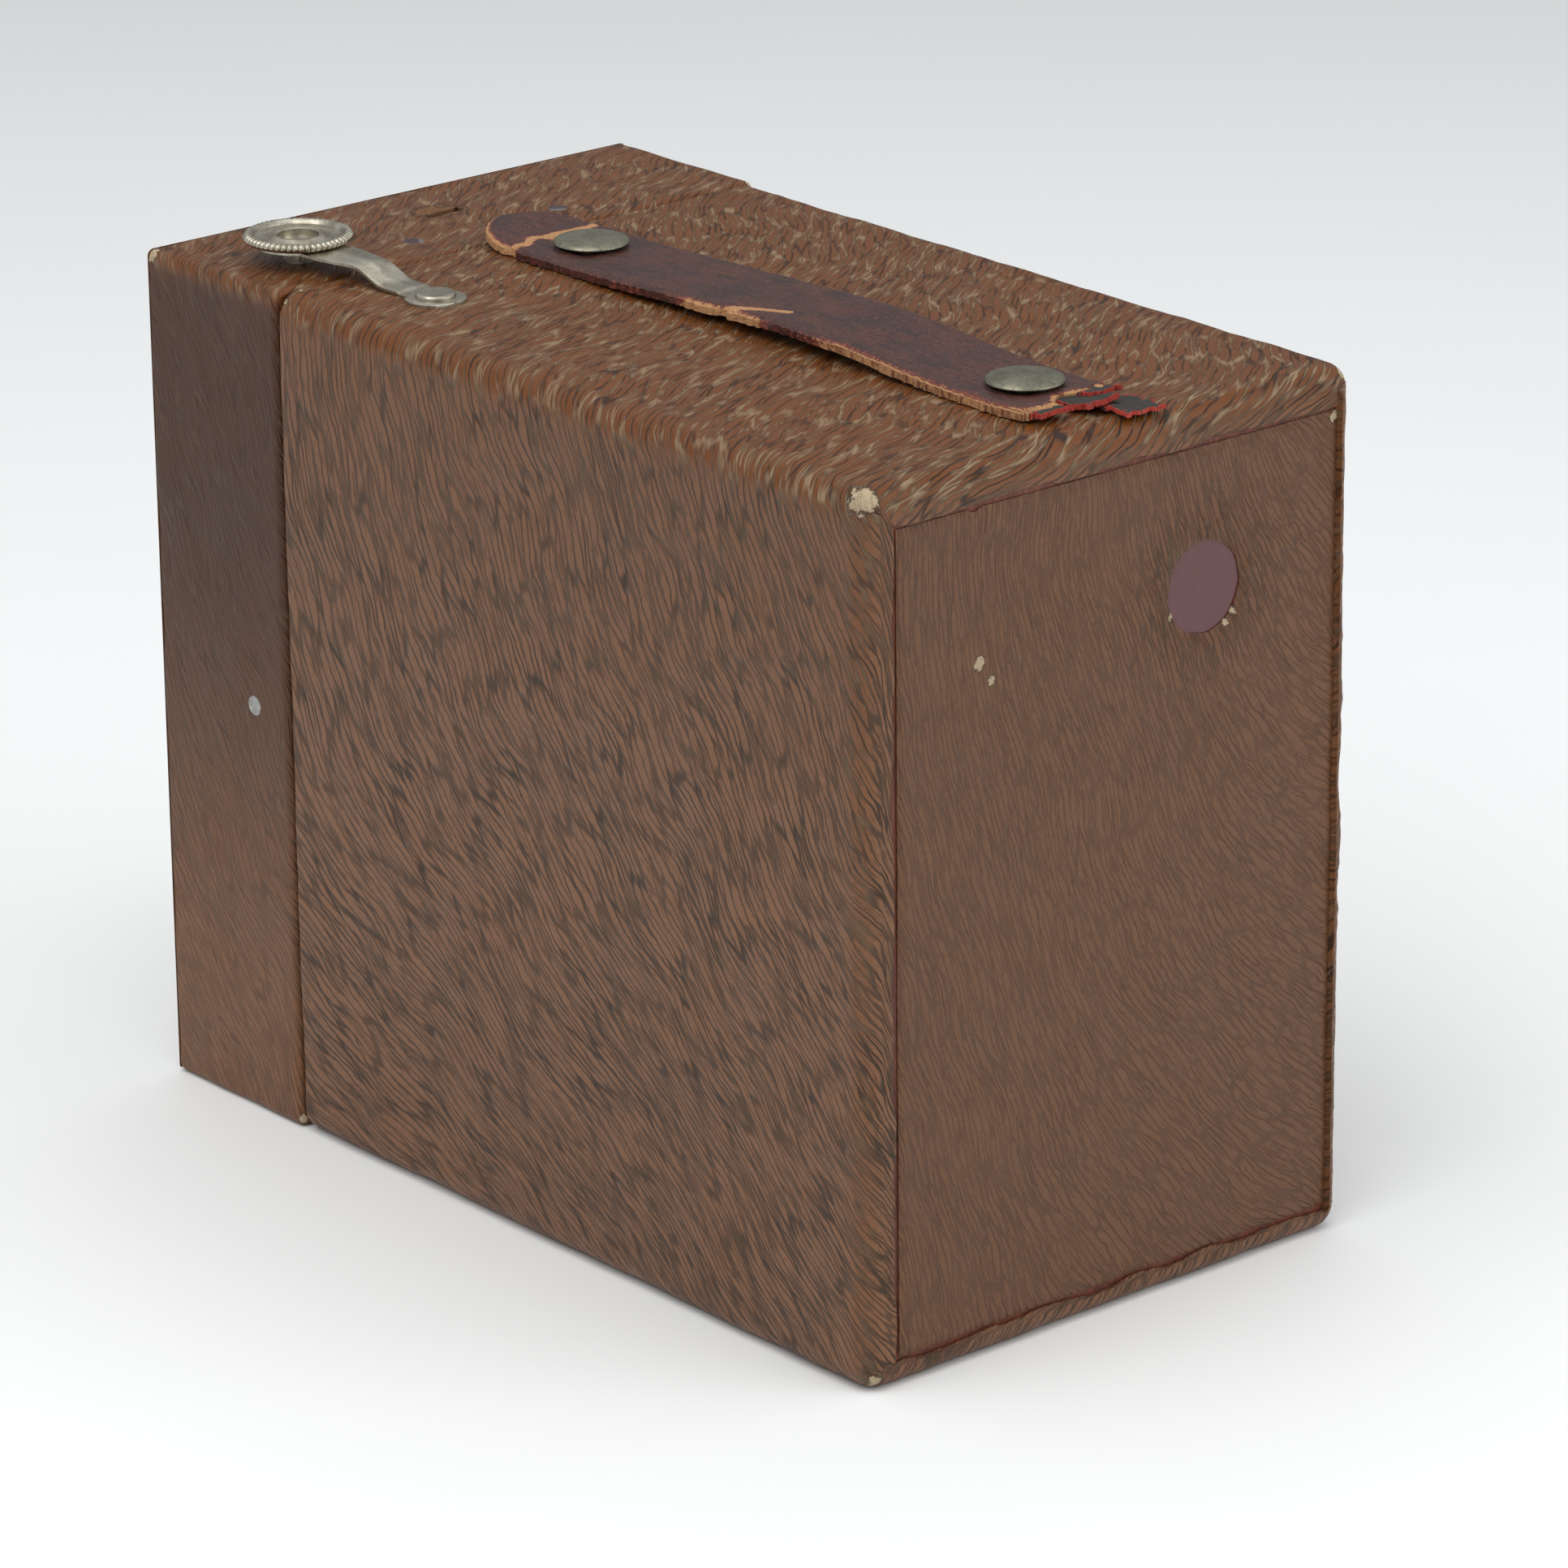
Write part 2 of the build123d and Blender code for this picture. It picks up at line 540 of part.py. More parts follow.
STRAP_REST_Z = HEIGHT + STRAP_LIE
STRAP_RISE = 11.0       # distance from a stud to where the strap starts to rise
SLOT_LONG = 10.0
SLOT_WIDE = 6.0
arch_start = STUD_FRONT_Y + STRAP_RISE
arch_end = STUD_BACK_Y - STRAP_RISE
with BuildPart() as strap:
    with BuildSketch(Plane.YZ.offset(-STRAP_WIDTH / 2)):
        with BuildLine():
            low = STRAP_REST_Z
            high = STRAP_REST_Z + STRAP_THICK
            middle = (arch_start + arch_end) / 2
            Line((STRAP_FRONT_Y, high), (STRAP_FRONT_Y, low))
            Line((STRAP_FRONT_Y, low), (arch_start, low))
            ThreePointArc((arch_start, low), (middle, low + STRAP_ARCH), (arch_end, low))
            Line((arch_end, low), (STRAP_BACK_Y, low))
            Line((STRAP_BACK_Y, low), (STRAP_BACK_Y, high))
            Line((STRAP_BACK_Y, high), (arch_end, high))
            ThreePointArc((arch_end, high), (middle, high + STRAP_ARCH), (arch_start, high))
            Line((arch_start, high), (STRAP_FRONT_Y, high))
        make_face()
    extrude(amount=STRAP_WIDTH)
    fillet(strap.edges().filter_by(Axis.Z).group_by(Axis.Y)[0], STRAP_WIDTH / 2 - 1)
    with BuildSketch(Plane.XY.offset(HEIGHT)):
        with Locations(*STUD_SPOTS):
            SlotOverall(SLOT_LONG, SLOT_WIDE, rotation=90)
    extrude(amount=2 * STRAP_THICK, mode=Mode.SUBTRACT)
strap.part.label = "strap"
export_step(strap.part, "parts/strap.step")

STUD_BASE_Z = INNER_TOP - NUT_THICK
with BuildPart() as strap_studs:
    for spot in STUD_SPOTS:
        with BuildSketch(Plane.XY.offset(STUD_BASE_Z)):
            with Locations(spot):
                Circle(STUD_SHANK_R)
        extrude(amount=STUD_HEAD_Z - STUD_BASE_Z)
        with BuildSketch(Plane.XY.offset(STUD_HEAD_Z)):
            with Locations(spot):
                Circle(STUD_HEAD_R)
        extrude(amount=STUD_HEAD_THICK)
    fillet(strap_studs.edges().group_by(Axis.Z)[-1], STUD_HEAD_THICK * 0.6)
strap_studs.part.label = "strap_studs"
export_step(strap_studs.part, "parts/strap_studs.step")

STUD_NUT_R = 5.0
with BuildPart() as stud_nuts:
    with BuildSketch(Plane.XY.offset(STUD_BASE_Z)):
        for spot in STUD_SPOTS:
            with Locations(spot):
                RegularPolygon(STUD_NUT_R, 6)
                Circle(STUD_SHANK_R, mode=Mode.SUBTRACT)
    extrude(amount=NUT_THICK)
stud_nuts.part.label = "stud_nuts"
export_step(stud_nuts.part, "parts/stud_nuts.step")

# ------------------------------------------------------------------ spring latch

FOOT_R = 6.0
FOOT_WIDTH = 9.0
FOOT_LAP = 1.0          # overlap of the foot's neck with its round end
RIVET_HEAD_R = 4.0
RIVET_HEAD = 0.9
LATCH_GAP = 0.5
with BuildPart() as latch_foot:
    with BuildSketch(Plane.XY.offset(HEIGHT)):
        with Locations((RIVET_X, RIVET_Y)):
            Circle(FOOT_R)
            Circle(RIVET_SHANK_R, mode=Mode.SUBTRACT)
        with Locations((RIVET_X, (RIVET_Y - FOOT_R + LATCH_ROOT_Y + FOOT_LAP) / 2)):
            Rectangle(FOOT_WIDTH, RIVET_Y - FOOT_R - LATCH_ROOT_Y + FOOT_LAP)
    extrude(amount=LATCH_PLATE)
latch_foot.part.label = "latch_foot"
export_step(latch_foot.part, "parts/latch_foot.step")

with BuildPart() as latch_rivet:
    with BuildSketch(Plane.XY.offset(INNER_TOP)):
        with Locations((RIVET_X, RIVET_Y)):
            Circle(RIVET_SHANK_R)
    extrude(amount=HEIGHT + LATCH_PLATE - INNER_TOP)
    with BuildSketch(Plane.XY.offset(HEIGHT + LATCH_PLATE)):
        with Locations((RIVET_X, RIVET_Y)):
            Circle(RIVET_HEAD_R)
    extrude(amount=RIVET_HEAD)
    fillet(latch_rivet.edges().sort_by(Axis.Z)[-1], RIVET_HEAD * 0.7)
latch_rivet.part.label = "latch_rivet"
export_step(latch_rivet.part, "parts/latch_rivet.step")

# The arm in plan, from its root to the eye under the ring, and then its S-bend in profile.
EYE_R = 8.5
BEND_SKEW = 0.2         # keeps the plate's thickness through its bends
arm_root = LATCH_ROOT_Y - LATCH_GAP
bend_low_y = arm_root - 5.0
bend_high_y = arm_root - 12.0
arm_low = HEIGHT + STRAP_LIE
arm_high = HEIGHT + LATCH_LIFT
with BuildPart() as latch_arm:
    with BuildSketch(Plane.XY.offset(HEIGHT)):
        with BuildLine():
            Polyline((RIVET_X - FOOT_WIDTH / 2, arm_root), (RIVET_X + FOOT_WIDTH / 2, arm_root),
                     (RIVET_X + 5.2, bend_high_y), (RING_X + 7.0, RING_Y + 4.8),
                     (RING_X - 7.0, RING_Y + 4.8), (RIVET_X - 4.2, bend_high_y), close=True)
        make_face()
        with Locations((RING_X, RING_Y)):
            Circle(EYE_R)
            Circle(RING_HOLE_R, mode=Mode.SUBTRACT)
    extrude(amount=3 * LATCH_LIFT)
    with BuildSketch(Plane.YZ.offset(RING_X + 2 * RING_R)):
        with BuildLine():
            Polyline((arm_root, arm_low), (bend_low_y, arm_low), (bend_high_y, arm_high),
                     (RING_Y - RING_R, arm_high), (RING_Y - RING_R, arm_high + LATCH_PLATE),
                     (bend_high_y - BEND_SKEW, arm_high + LATCH_PLATE),
                     (bend_low_y - BEND_SKEW, arm_low + LATCH_PLATE),
                     (arm_root, arm_low + LATCH_PLATE), close=True)
        make_face()
    extrude(amount=-4 * RING_R, mode=Mode.INTERSECT)
latch_arm.part.label = "latch_arm"
export_step(latch_arm.part, "parts/latch_arm.step")

# The milled grip ring: a raised bead outside, a dished web, and a lip round the hole.
RING_WEB = 0.8
RING_BEAD = 1.1
ring_low = arm_high + LATCH_PLATE
BEAD_WIDE = 2.0         # the ring's outer bead
LIP_WIDE = 0.9          # the lip round its hole
BEAD_ROUND = 0.35
with BuildPart() as latch_ring:
    with BuildSketch(Plane.XY.offset(ring_low)):
        with Locations((RING_X, RING_Y)):
            Circle(RING_R)
            Circle(RING_HOLE_R, mode=Mode.SUBTRACT)
    extrude(amount=RING_WEB)
    with BuildSketch(Plane.XY.offset(ring_low + RING_WEB)):
        with Locations((RING_X, RING_Y)):
            Circle(RING_R)
            Circle(RING_R - BEAD_WIDE, mode=Mode.SUBTRACT)
            Circle(RING_HOLE_R + LIP_WIDE)
            Circle(RING_HOLE_R, mode=Mode.SUBTRACT)
    extrude(amount=RING_BEAD)
    fillet(latch_ring.edges().filter_by(GeomType.CIRCLE).group_by(Axis.Z)[-1], BEAD_ROUND)
latch_ring.part.label = "latch_ring"
export_step(latch_ring.part, "parts/latch_ring.step")

# ------------------------------------------------------------------------ hinges



def hinge_leaf(direction, spans, bore):
    """Both hinges' leaves on one side of the seam, with knuckles over the given Z spans."""
    with BuildPart() as leaves:
        for z in HINGE_Z:
            with BuildSketch(Plane.YZ.offset(-SIDE_X)):
                with Locations((SEAM_Y + direction * (PLATE_NEAR + PLATE_FAR) / 2, z)):
                    Rectangle(PLATE_FAR - PLATE_NEAR, 2 * HINGE_HALF)
                with Locations(*screw_spots(direction, z)):
                    Circle(HINGE_SCREW_R, mode=Mode.SUBTRACT)
            extrude(amount=-LEAF)
            for low, high in spans:
                with BuildSketch(Plane.XY.offset(z + low)):
                    with BuildLine():
                        Polyline((-SIDE_X, SEAM_Y + direction * (PLATE_NEAR + WEB_RISE)),
                                 (-SIDE_X, SEAM_Y + direction * KNUCKLE_STEP),
                                 (HINGE_X + WEB_DEEP, SEAM_Y + direction * KNUCKLE_STEP),
                                 (HINGE_X + WEB_DEEP, SEAM_Y + direction * WEB_TOP),
                                 (-SIDE_X - LEAF, SEAM_Y + direction * (PLATE_NEAR + WEB_RISE)),
                                 close=True)
                    make_face()
                    with Locations((HINGE_X, SEAM_Y)):
                        Circle(BARREL_R)
                extrude(amount=high - low)
                with BuildSketch(Plane.XY.offset(z + low)):
                    with Locations((HINGE_X, SEAM_Y)):
                        Circle(bore)
                extrude(amount=high - low, mode=Mode.SUBTRACT)
    return leaves


case_spans = ((-HINGE_HALF, -KNUCKLE - KNUCKLE_GAP), (KNUCKLE + KNUCKLE_GAP, HINGE_HALF))
front_spans = ((-KNUCKLE, KNUCKLE),)

hinge_case_leaves = hinge_leaf(1, case_spans, HINGE_PIN_R)
hinge_case_leaves.part.label = "hinge_case_leaves"
export_step(hinge_case_leaves.part, "parts/hinge_case_leaves.step")

hinge_front_leaves = hinge_leaf(-1, front_spans, HINGE_PIN_R + FIT)
hinge_front_leaves.part.label = "hinge_front_leaves"
export_step(hinge_front_leaves.part, "parts/hinge_front_leaves.step")

with BuildPart() as hinge_pins:
    for z in HINGE_Z:
        with BuildSketch(Plane.XY.offset(z - HINGE_HALF)):
            with Locations((HINGE_X, SEAM_Y)):
                Circle(HINGE_PIN_R)
        extrude(amount=2 * HINGE_HALF)
hinge_pins.part.label = "hinge_pins"
export_step(hinge_pins.part, "parts/hinge_pins.step")

# --------------------------------------------------- wood of the front section

LENS_SCREW_HEAD_R = 2.0
LENS_SCREW_HEAD = 1.0
LENS_SCREW_R = 1.2
LENS_SCREW_LONG = 13.0
LENS_SCREW_X = 18.3
SCREW_SUNK = 0.1        # depth of the screw heads below the leather
STOP_SLOT_X = 0.5
STOP_SLOT_WIDE = 9.2
STOP_SLOT_THICK = 2.2
LEVER_SLIT_Y = 2.6
LEVER_SLIT_Z = 17.0
SCREEN_WINDOW_Y = SCREEN_Y - 3
SCREEN_WINDOW_Z = SCREEN_Z - 3



# Cutting bodies shared by the wood and the leather of the front section.
LENS_SCREW_STEPS = ((LENS_SCREW_R, LENS_SCREW_LONG), (LENS_SCREW_HEAD_R, LENS_SCREW_HEAD))
with BuildPart() as lens_screw_bores:
    for level, inward in ((HEIGHT, -1), (0.0, 1)):
        for radius, depth in LENS_SCREW_STEPS:
            with BuildSketch(Plane.XY.offset(level)):
                with Locations((LENS_SCREW_X, SCREW_Y), (-LENS_SCREW_X, SCREW_Y)):
                    Circle(radius)
            extrude(amount=inward * depth)
    for side in (1, -1):
        for radius, depth in LENS_SCREW_STEPS:
            with BuildSketch(Plane.YZ.offset(side * SIDE_X)):
                with Locations((SCREW_Y, MID_Z)):
                    Circle(radius)
            extrude(amount=-side * depth)

with BuildPart() as stop_slot:
    with BuildSketch(Plane.XY.offset(HEIGHT)):
        with Locations((STOP_SLOT_X, STOP_Y)):
            Rectangle(STOP_SLOT_WIDE, STOP_SLOT_THICK)
    extrude(amount=-2 * BOARD)

with BuildPart() as lever_slit:
    with BuildSketch(Plane.YZ.offset(-SIDE_X)):
        with Locations((LEVER_Y, LEVER_Z)):
            Rectangle(LEVER_SLIT_Y, LEVER_SLIT_Z)
    extrude(amount=2 * BOARD)

with BuildPart() as face_openings:
    with BuildSketch(Plane.XZ.offset(-FRONT_Y)):
        with Locations((0, MID_Z)):
            Circle(FRONT_OPENING_R)
        with Locations((FINDER_X, FINDER_Z)):
            Circle(FINDER_LENS_R)
    extrude(amount=-2 * BOARD)

LATCH_STUD_R = 1.2
with BuildPart() as front_top_rim:
    add(front_wood)
    split(bisect_by=Plane.XZ.offset(-FACE_INNER_Y), keep=Keep.BOTTOM)
    split(bisect_by=Plane.XY.offset(RIM_INNER_TOP), keep=Keep.TOP)
    add(lens_screw_bores.part, mode=Mode.SUBTRACT)
    add(stop_slot.part, mode=Mode.SUBTRACT)
    with BuildSketch(Plane.XY.offset(HEIGHT)):
        with Locations((RING_X, RING_Y)):
            Circle(LATCH_STUD_R)
    extrude(amount=-2 * BOARD, mode=Mode.SUBTRACT)
front_top_rim.part.label = "front_top_rim"
export_step(front_top_rim.part, "parts/front_top_rim.step")

with BuildPart() as front_base_rim:
    add(front_wood)
    split(bisect_by=Plane.XZ.offset(-FACE_INNER_Y), keep=Keep.BOTTOM)
    split(bisect_by=Plane.XY.offset(RIM_INNER_BASE), keep=Keep.BOTTOM)
    add(lens_screw_bores.part, mode=Mode.SUBTRACT)
front_base_rim.part.label = "front_base_rim"
export_step(front_base_rim.part, "parts/front_base_rim.step")

with BuildPart() as front_side_rims:
    add(front_wood)
    split(bisect_by=Plane.XZ.offset(-FACE_INNER_Y), keep=Keep.BOTTOM)
    split(bisect_by=Plane.XY.offset(RIM_INNER_TOP), keep=Keep.BOTTOM)
    split(bisect_by=Plane.XY.offset(RIM_INNER_BASE), keep=Keep.TOP)
    with BuildSketch(Plane.XZ.offset(-FACE_INNER_Y)):
        with Locations((0, MID_Z)):
            Rectangle(2 * RIM_INNER_X, HEIGHT)
    extrude(amount=-FRONT_DEPTH, mode=Mode.SUBTRACT)
    add(lens_screw_bores.part, mode=Mode.SUBTRACT)
    add(lever_slit.part, mode=Mode.SUBTRACT)
    add(hinge_screw_bores.part, mode=Mode.SUBTRACT)
    with BuildSketch(Plane.YZ.offset(-SIDE_X)):
        with Locations((FINDER_Y, FINDER_Z)):
            Rectangle(SCREEN_WINDOW_Y, SCREEN_WINDOW_Z)
    extrude(amount=2 * BOARD, mode=Mode.SUBTRACT)
front_side_rims.part.label = "front_side_rims"
export_step(front_side_rims.part, "parts/front_side_rims.step")

with BuildPart() as front_board:
    add(front_wood)
    split(bisect_by=Plane.XZ.offset(-FACE_INNER_Y), keep=Keep.TOP)
    add(face_openings.part, mode=Mode.SUBTRACT)
front_board.part.label = "front_board"
export_step(front_board.part, "parts/front_board.step")

# ---------------------------------------- leather covering of the front section

with BuildPart() as front_leather:
    add(front_outer)
    split(bisect_by=Plane.XY.offset(LEATHER), keep=Keep.TOP)
    split(bisect_by=Plane.XZ.offset(-FACE_WOOD_Y), keep=Keep.BOTTOM)
    add(front_wood, mode=Mode.SUBTRACT)
    with BuildSketch(Plane.XZ.offset(-RIM_Y)):
        with Locations((0, MID_Z)):
            Rectangle(2 * RIM_INNER_X, RIM_INNER_TOP - RIM_INNER_BASE)
    extrude(amount=2 * LEATHER, mode=Mode.SUBTRACT)
    add(lens_screw_bores.part, mode=Mode.SUBTRACT)
    add(stop_slot.part, mode=Mode.SUBTRACT)
    add(lever_slit.part, mode=Mode.SUBTRACT)
    with BuildSketch(Plane.XY.offset(HEIGHT)):
        with Locations((RING_X, RING_Y)):
            Circle(LATCH_STUD_R)
    extrude(amount=-2 * LEATHER, mode=Mode.SUBTRACT)
    with BuildSketch(Plane.YZ.offset(-SIDE_X)):
        with Locations((FINDER_Y, FINDER_Z)):
            Rectangle(SCREEN_Y, SCREEN_Z)
    extrude(amount=2 * LEATHER, mode=Mode.SUBTRACT)
    add(hinge_screw_bores.part, mode=Mode.SUBTRACT)
front_leather.part.label = "front_leather"
export_step(front_leather.part, "parts/front_leather.step")

with BuildPart() as front_face_leather:
    add(front_outer)
    split(bisect_by=Plane.XY.offset(LEATHER), keep=Keep.TOP)
    split(bisect_by=Plane.XZ.offset(-FACE_WOOD_Y), keep=Keep.TOP)
    add(face_openings.part, mode=Mode.SUBTRACT)
front_face_leather.part.label = "front_face_leather"
export_step(front_face_leather.part, "parts/front_face_leather.step")

with BuildPart() as front_base_leather:
    add(front_outer)
    split(bisect_by=Plane.XY.offset(LEATHER), keep=Keep.BOTTOM)
    add(lens_screw_bores.part, mode=Mode.SUBTRACT)
front_base_leather.part.label = "front_base_leather"
export_step(front_base_leather.part, "parts/front_base_leather.step")

# ------------------------------------------------------ lens board and its screws

lens_board_back = LENS_BOARD_Y + LENS_BOARD
PILLAR_X = 42.0
PILLAR_Z = 36.0
PILLAR_R = 2.5
PILLAR_SPOTS = [(x, MID_Z + z) for x in (-PILLAR_X, PILLAR_X) for z in (-PILLAR_Z, PILLAR_Z)]
FLANGE_SCREWS = 3
FLANGE_SCREW_R = 0.9
FLANGE_SCREW_PCD = LENS_FLANGE_R - 2.5
LENS_FLANGE = 1.0

with BuildPart() as lens_board:
    with BuildSketch(Plane.XZ.offset(-LENS_BOARD_Y)):
        with Locations((0, MID_Z)):
            Rectangle(2 * RIM_INNER_X, RIM_INNER_TOP - RIM_INNER_BASE)
            Circle(BARREL_OUT, mode=Mode.SUBTRACT)
    extrude(amount=-LENS_BOARD)
    add(lens_screw_bores.part, mode=Mode.SUBTRACT)
    with BuildSketch(Plane.XZ.offset(-lens_board_back)):
        with Locations((0, MID_Z)):
            with PolarLocations(FLANGE_SCREW_PCD, FLANGE_SCREWS, start_angle=90):
                Circle(FLANGE_SCREW_R)
    extrude(amount=4.0, mode=Mode.SUBTRACT)
    with BuildSketch(Plane.XZ.offset(-LENS_BOARD_Y)):
        with Locations((0, DISC_PIVOT_Z)):
            Circle(1.5)
    extrude(amount=-3.0, mode=Mode.SUBTRACT)
lens_board.part.label = "lens_board"
export_step(lens_board.part, "parts/lens_board.step")

# --------------------------------------------------------------- lens and its cell

BARREL_BACK_Y = -67.0
LENS_FRONT_Y = -75.0    # front edge of the glass
SEAT_LIP = 1.5
BARREL_BORE = LENS_R + 0.05
with BuildPart() as lens_barrel:
    with BuildSketch(Plane.XZ.offset(-LENS_BOARD_Y)):
        with Locations((0, MID_Z)):
            Circle(BARREL_OUT)
            Circle(BARREL_BORE, mode=Mode.SUBTRACT)
    extrude(amount=-(BARREL_BACK_Y - LENS_BOARD_Y))
    with BuildSketch(Plane.XZ.offset(-lens_board_back)):
        with Locations((0, MID_Z)):
            Circle(LENS_FLANGE_R)
            Circle(BARREL_OUT - BARREL_LAP, mode=Mode.SUBTRACT)
            with PolarLocations(FLANGE_SCREW_PCD, FLANGE_SCREWS, start_angle=90):
                Circle(FLANGE_SCREW_R, mode=Mode.SUBTRACT)
    extrude(amount=-LENS_FLANGE)
    with BuildSketch(Plane.XZ.offset(-LENS_BOARD_Y)):
        with Locations((0, MID_Z)):
            Circle(BARREL_BORE)
            Circle(BARREL_BORE - SEAT_LIP, mode=Mode.SUBTRACT)
    extrude(amount=-(LENS_FRONT_Y - LENS_BOARD_Y))
lens_barrel.part.label = "lens_barrel"
export_step(lens_barrel.part, "parts/lens_barrel.step")

# The meniscus bulges backwards, with its hollow side to the stops.
LENS_EDGE = 3.0
LENS_BACK_RADIUS = 31.0
LENS_FRONT_RADIUS = 55.6
lens_back_y = LENS_FRONT_Y + LENS_EDGE
back_centre_y = lens_back_y - (LENS_BACK_RADIUS ** 2 - LENS_R ** 2) ** 0.5
front_centre_y = LENS_FRONT_Y - (LENS_FRONT_RADIUS ** 2 - LENS_R ** 2) ** 0.5
with BuildPart() as lens_glass:
    with BuildSketch(Plane.XZ.offset(-LENS_FRONT_Y)):
        with Locations((0, MID_Z)):
            Circle(LENS_R)
    extrude(amount=-3 * LENS_EDGE)
    with Locations((0, back_centre_y, MID_Z)):
        Sphere(LENS_BACK_RADIUS, mode=Mode.INTERSECT)
    with Locations((0, front_centre_y, MID_Z)):
        Sphere(LENS_FRONT_RADIUS, mode=Mode.SUBTRACT)
lens_glass.part.label = "lens_glass"
export_step(lens_glass.part, "parts/lens_glass.step")

LENS_RING_THICK = 1.8
LENS_RING_OFF = 0.7     # the ring bears on the curved back a little inside its edge
with BuildPart() as lens_ring:
    with BuildSketch(Plane.XZ.offset(-lens_back_y - LENS_RING_OFF)):
        with Locations((0, MID_Z)):
            Circle(BARREL_BORE)
            Circle(BARREL_BORE - SEAT_LIP, mode=Mode.SUBTRACT)
    extrude(amount=-LENS_RING_THICK)
lens_ring.part.label = "lens_ring"
export_step(lens_ring.part, "parts/lens_ring.step")

FLANGE_SCREW_HEAD = 0.8
FLANGE_SCREW_HEAD_R = 1.7
FLANGE_SCREW_LONG = 4.0
with BuildPart() as lens_screws:
    for level, inward in ((HEIGHT, -1), (0.0, 1)):
        for radius, depth in LENS_SCREW_STEPS:
            with BuildSketch(Plane.XY.offset(level + inward * SCREW_SUNK)):
                with Locations((LENS_SCREW_X, SCREW_Y), (-LENS_SCREW_X, SCREW_Y)):
                    Circle(radius)
            extrude(amount=inward * (depth - SCREW_SUNK))
    for side in (1, -1):
        for radius, depth in LENS_SCREW_STEPS:
            with BuildSketch(Plane.YZ.offset(side * (SIDE_X - SCREW_SUNK))):
                with Locations((SCREW_Y, MID_Z)):
                    Circle(radius)
            extrude(amount=-side * (depth - SCREW_SUNK))
    for depth, radius in ((-FLANGE_SCREW_HEAD, FLANGE_SCREW_HEAD_R), (FLANGE_SCREW_LONG, FLANGE_SCREW_R)):
        with BuildSketch(Plane.XZ.offset(-lens_board_back - LENS_FLANGE)):
            with Locations((0, MID_Z)):
                with PolarLocations(FLANGE_SCREW_PCD, FLANGE_SCREWS, start_angle=90):
                    Circle(radius)
        extrude(amount=depth)
lens_screws.part.label = "lens_screws"
export_step(lens_screws.part, "parts/lens_screws.step")

# ------------------------------------------------------------ shutter and stops

plate_back = PLATE_Y + PLATE
PLATE_HOLE_R = LENS_R + 0.6
PLATE_LAP = 6.0         # the plate reaches this far past its pillars
with BuildPart() as shutter_plate:
    with BuildSketch(Plane.XZ.offset(-PLATE_Y)):
        with Locations((0, MID_Z)):
            Rectangle(2 * (PILLAR_X + PLATE_LAP), 2 * (PILLAR_Z + PLATE_LAP))
            Circle(PLATE_HOLE_R, mode=Mode.SUBTRACT)
        with Locations((LEVER_X, LEVER_Z)):
            Circle(1.5, mode=Mode.SUBTRACT)
    extrude(amount=-PLATE)
shutter_plate.part.label = "shutter_plate"
export_step(shutter_plate.part, "parts/shutter_plate.step")

with BuildPart() as plate_pillars:
    with BuildSketch(Plane.XZ.offset(-plate_back)):
        with Locations(*PILLAR_SPOTS):
            Circle(PILLAR_R)
    extrude(amount=-(LENS_BOARD_Y - plate_back))
plate_pillars.part.label = "plate_pillars"
export_step(plate_pillars.part, "parts/plate_pillars.step")

DISC_BORE = 1.5 + FIT
APERTURE_R = LENS_R - 0.9
APERTURE_REACH = 20.0   # the lens axis is this far above the disc's pivot
DISC_PIN = 9.0          # the spring's pin, across and up from the pivot
DISC_PIN_R = 0.9
DISC_PIN_LONG = 0.8
APERTURE_TURN = 60.0    # the aperture waits this far from the lens
aperture_x = APERTURE_REACH * sin(radians(APERTURE_TURN))
aperture_z = DISC_PIVOT_Z + APERTURE_REACH * cos(radians(APERTURE_TURN))
with BuildPart() as shutter_disc:
    with BuildSketch(Plane.XZ.offset(-(DISC_Y - DISC / 2))):
        with Locations((0, DISC_PIVOT_Z)):
            Circle(DISC_R)
            Circle(DISC_BORE, mode=Mode.SUBTRACT)
        with Locations((aperture_x, aperture_z)):
            Circle(APERTURE_R, mode=Mode.SUBTRACT)
    extrude(amount=-DISC)
    with BuildSketch(Plane.XZ.offset(-(DISC_Y - DISC / 2))):
        with Locations((-DISC_PIN, DISC_PIVOT_Z + DISC_PIN)):
            Circle(DISC_PIN_R)
    extrude(amount=DISC_PIN_LONG)
shutter_disc.part.label = "shutter_disc"
export_step(shutter_disc.part, "parts/shutter_disc.step")

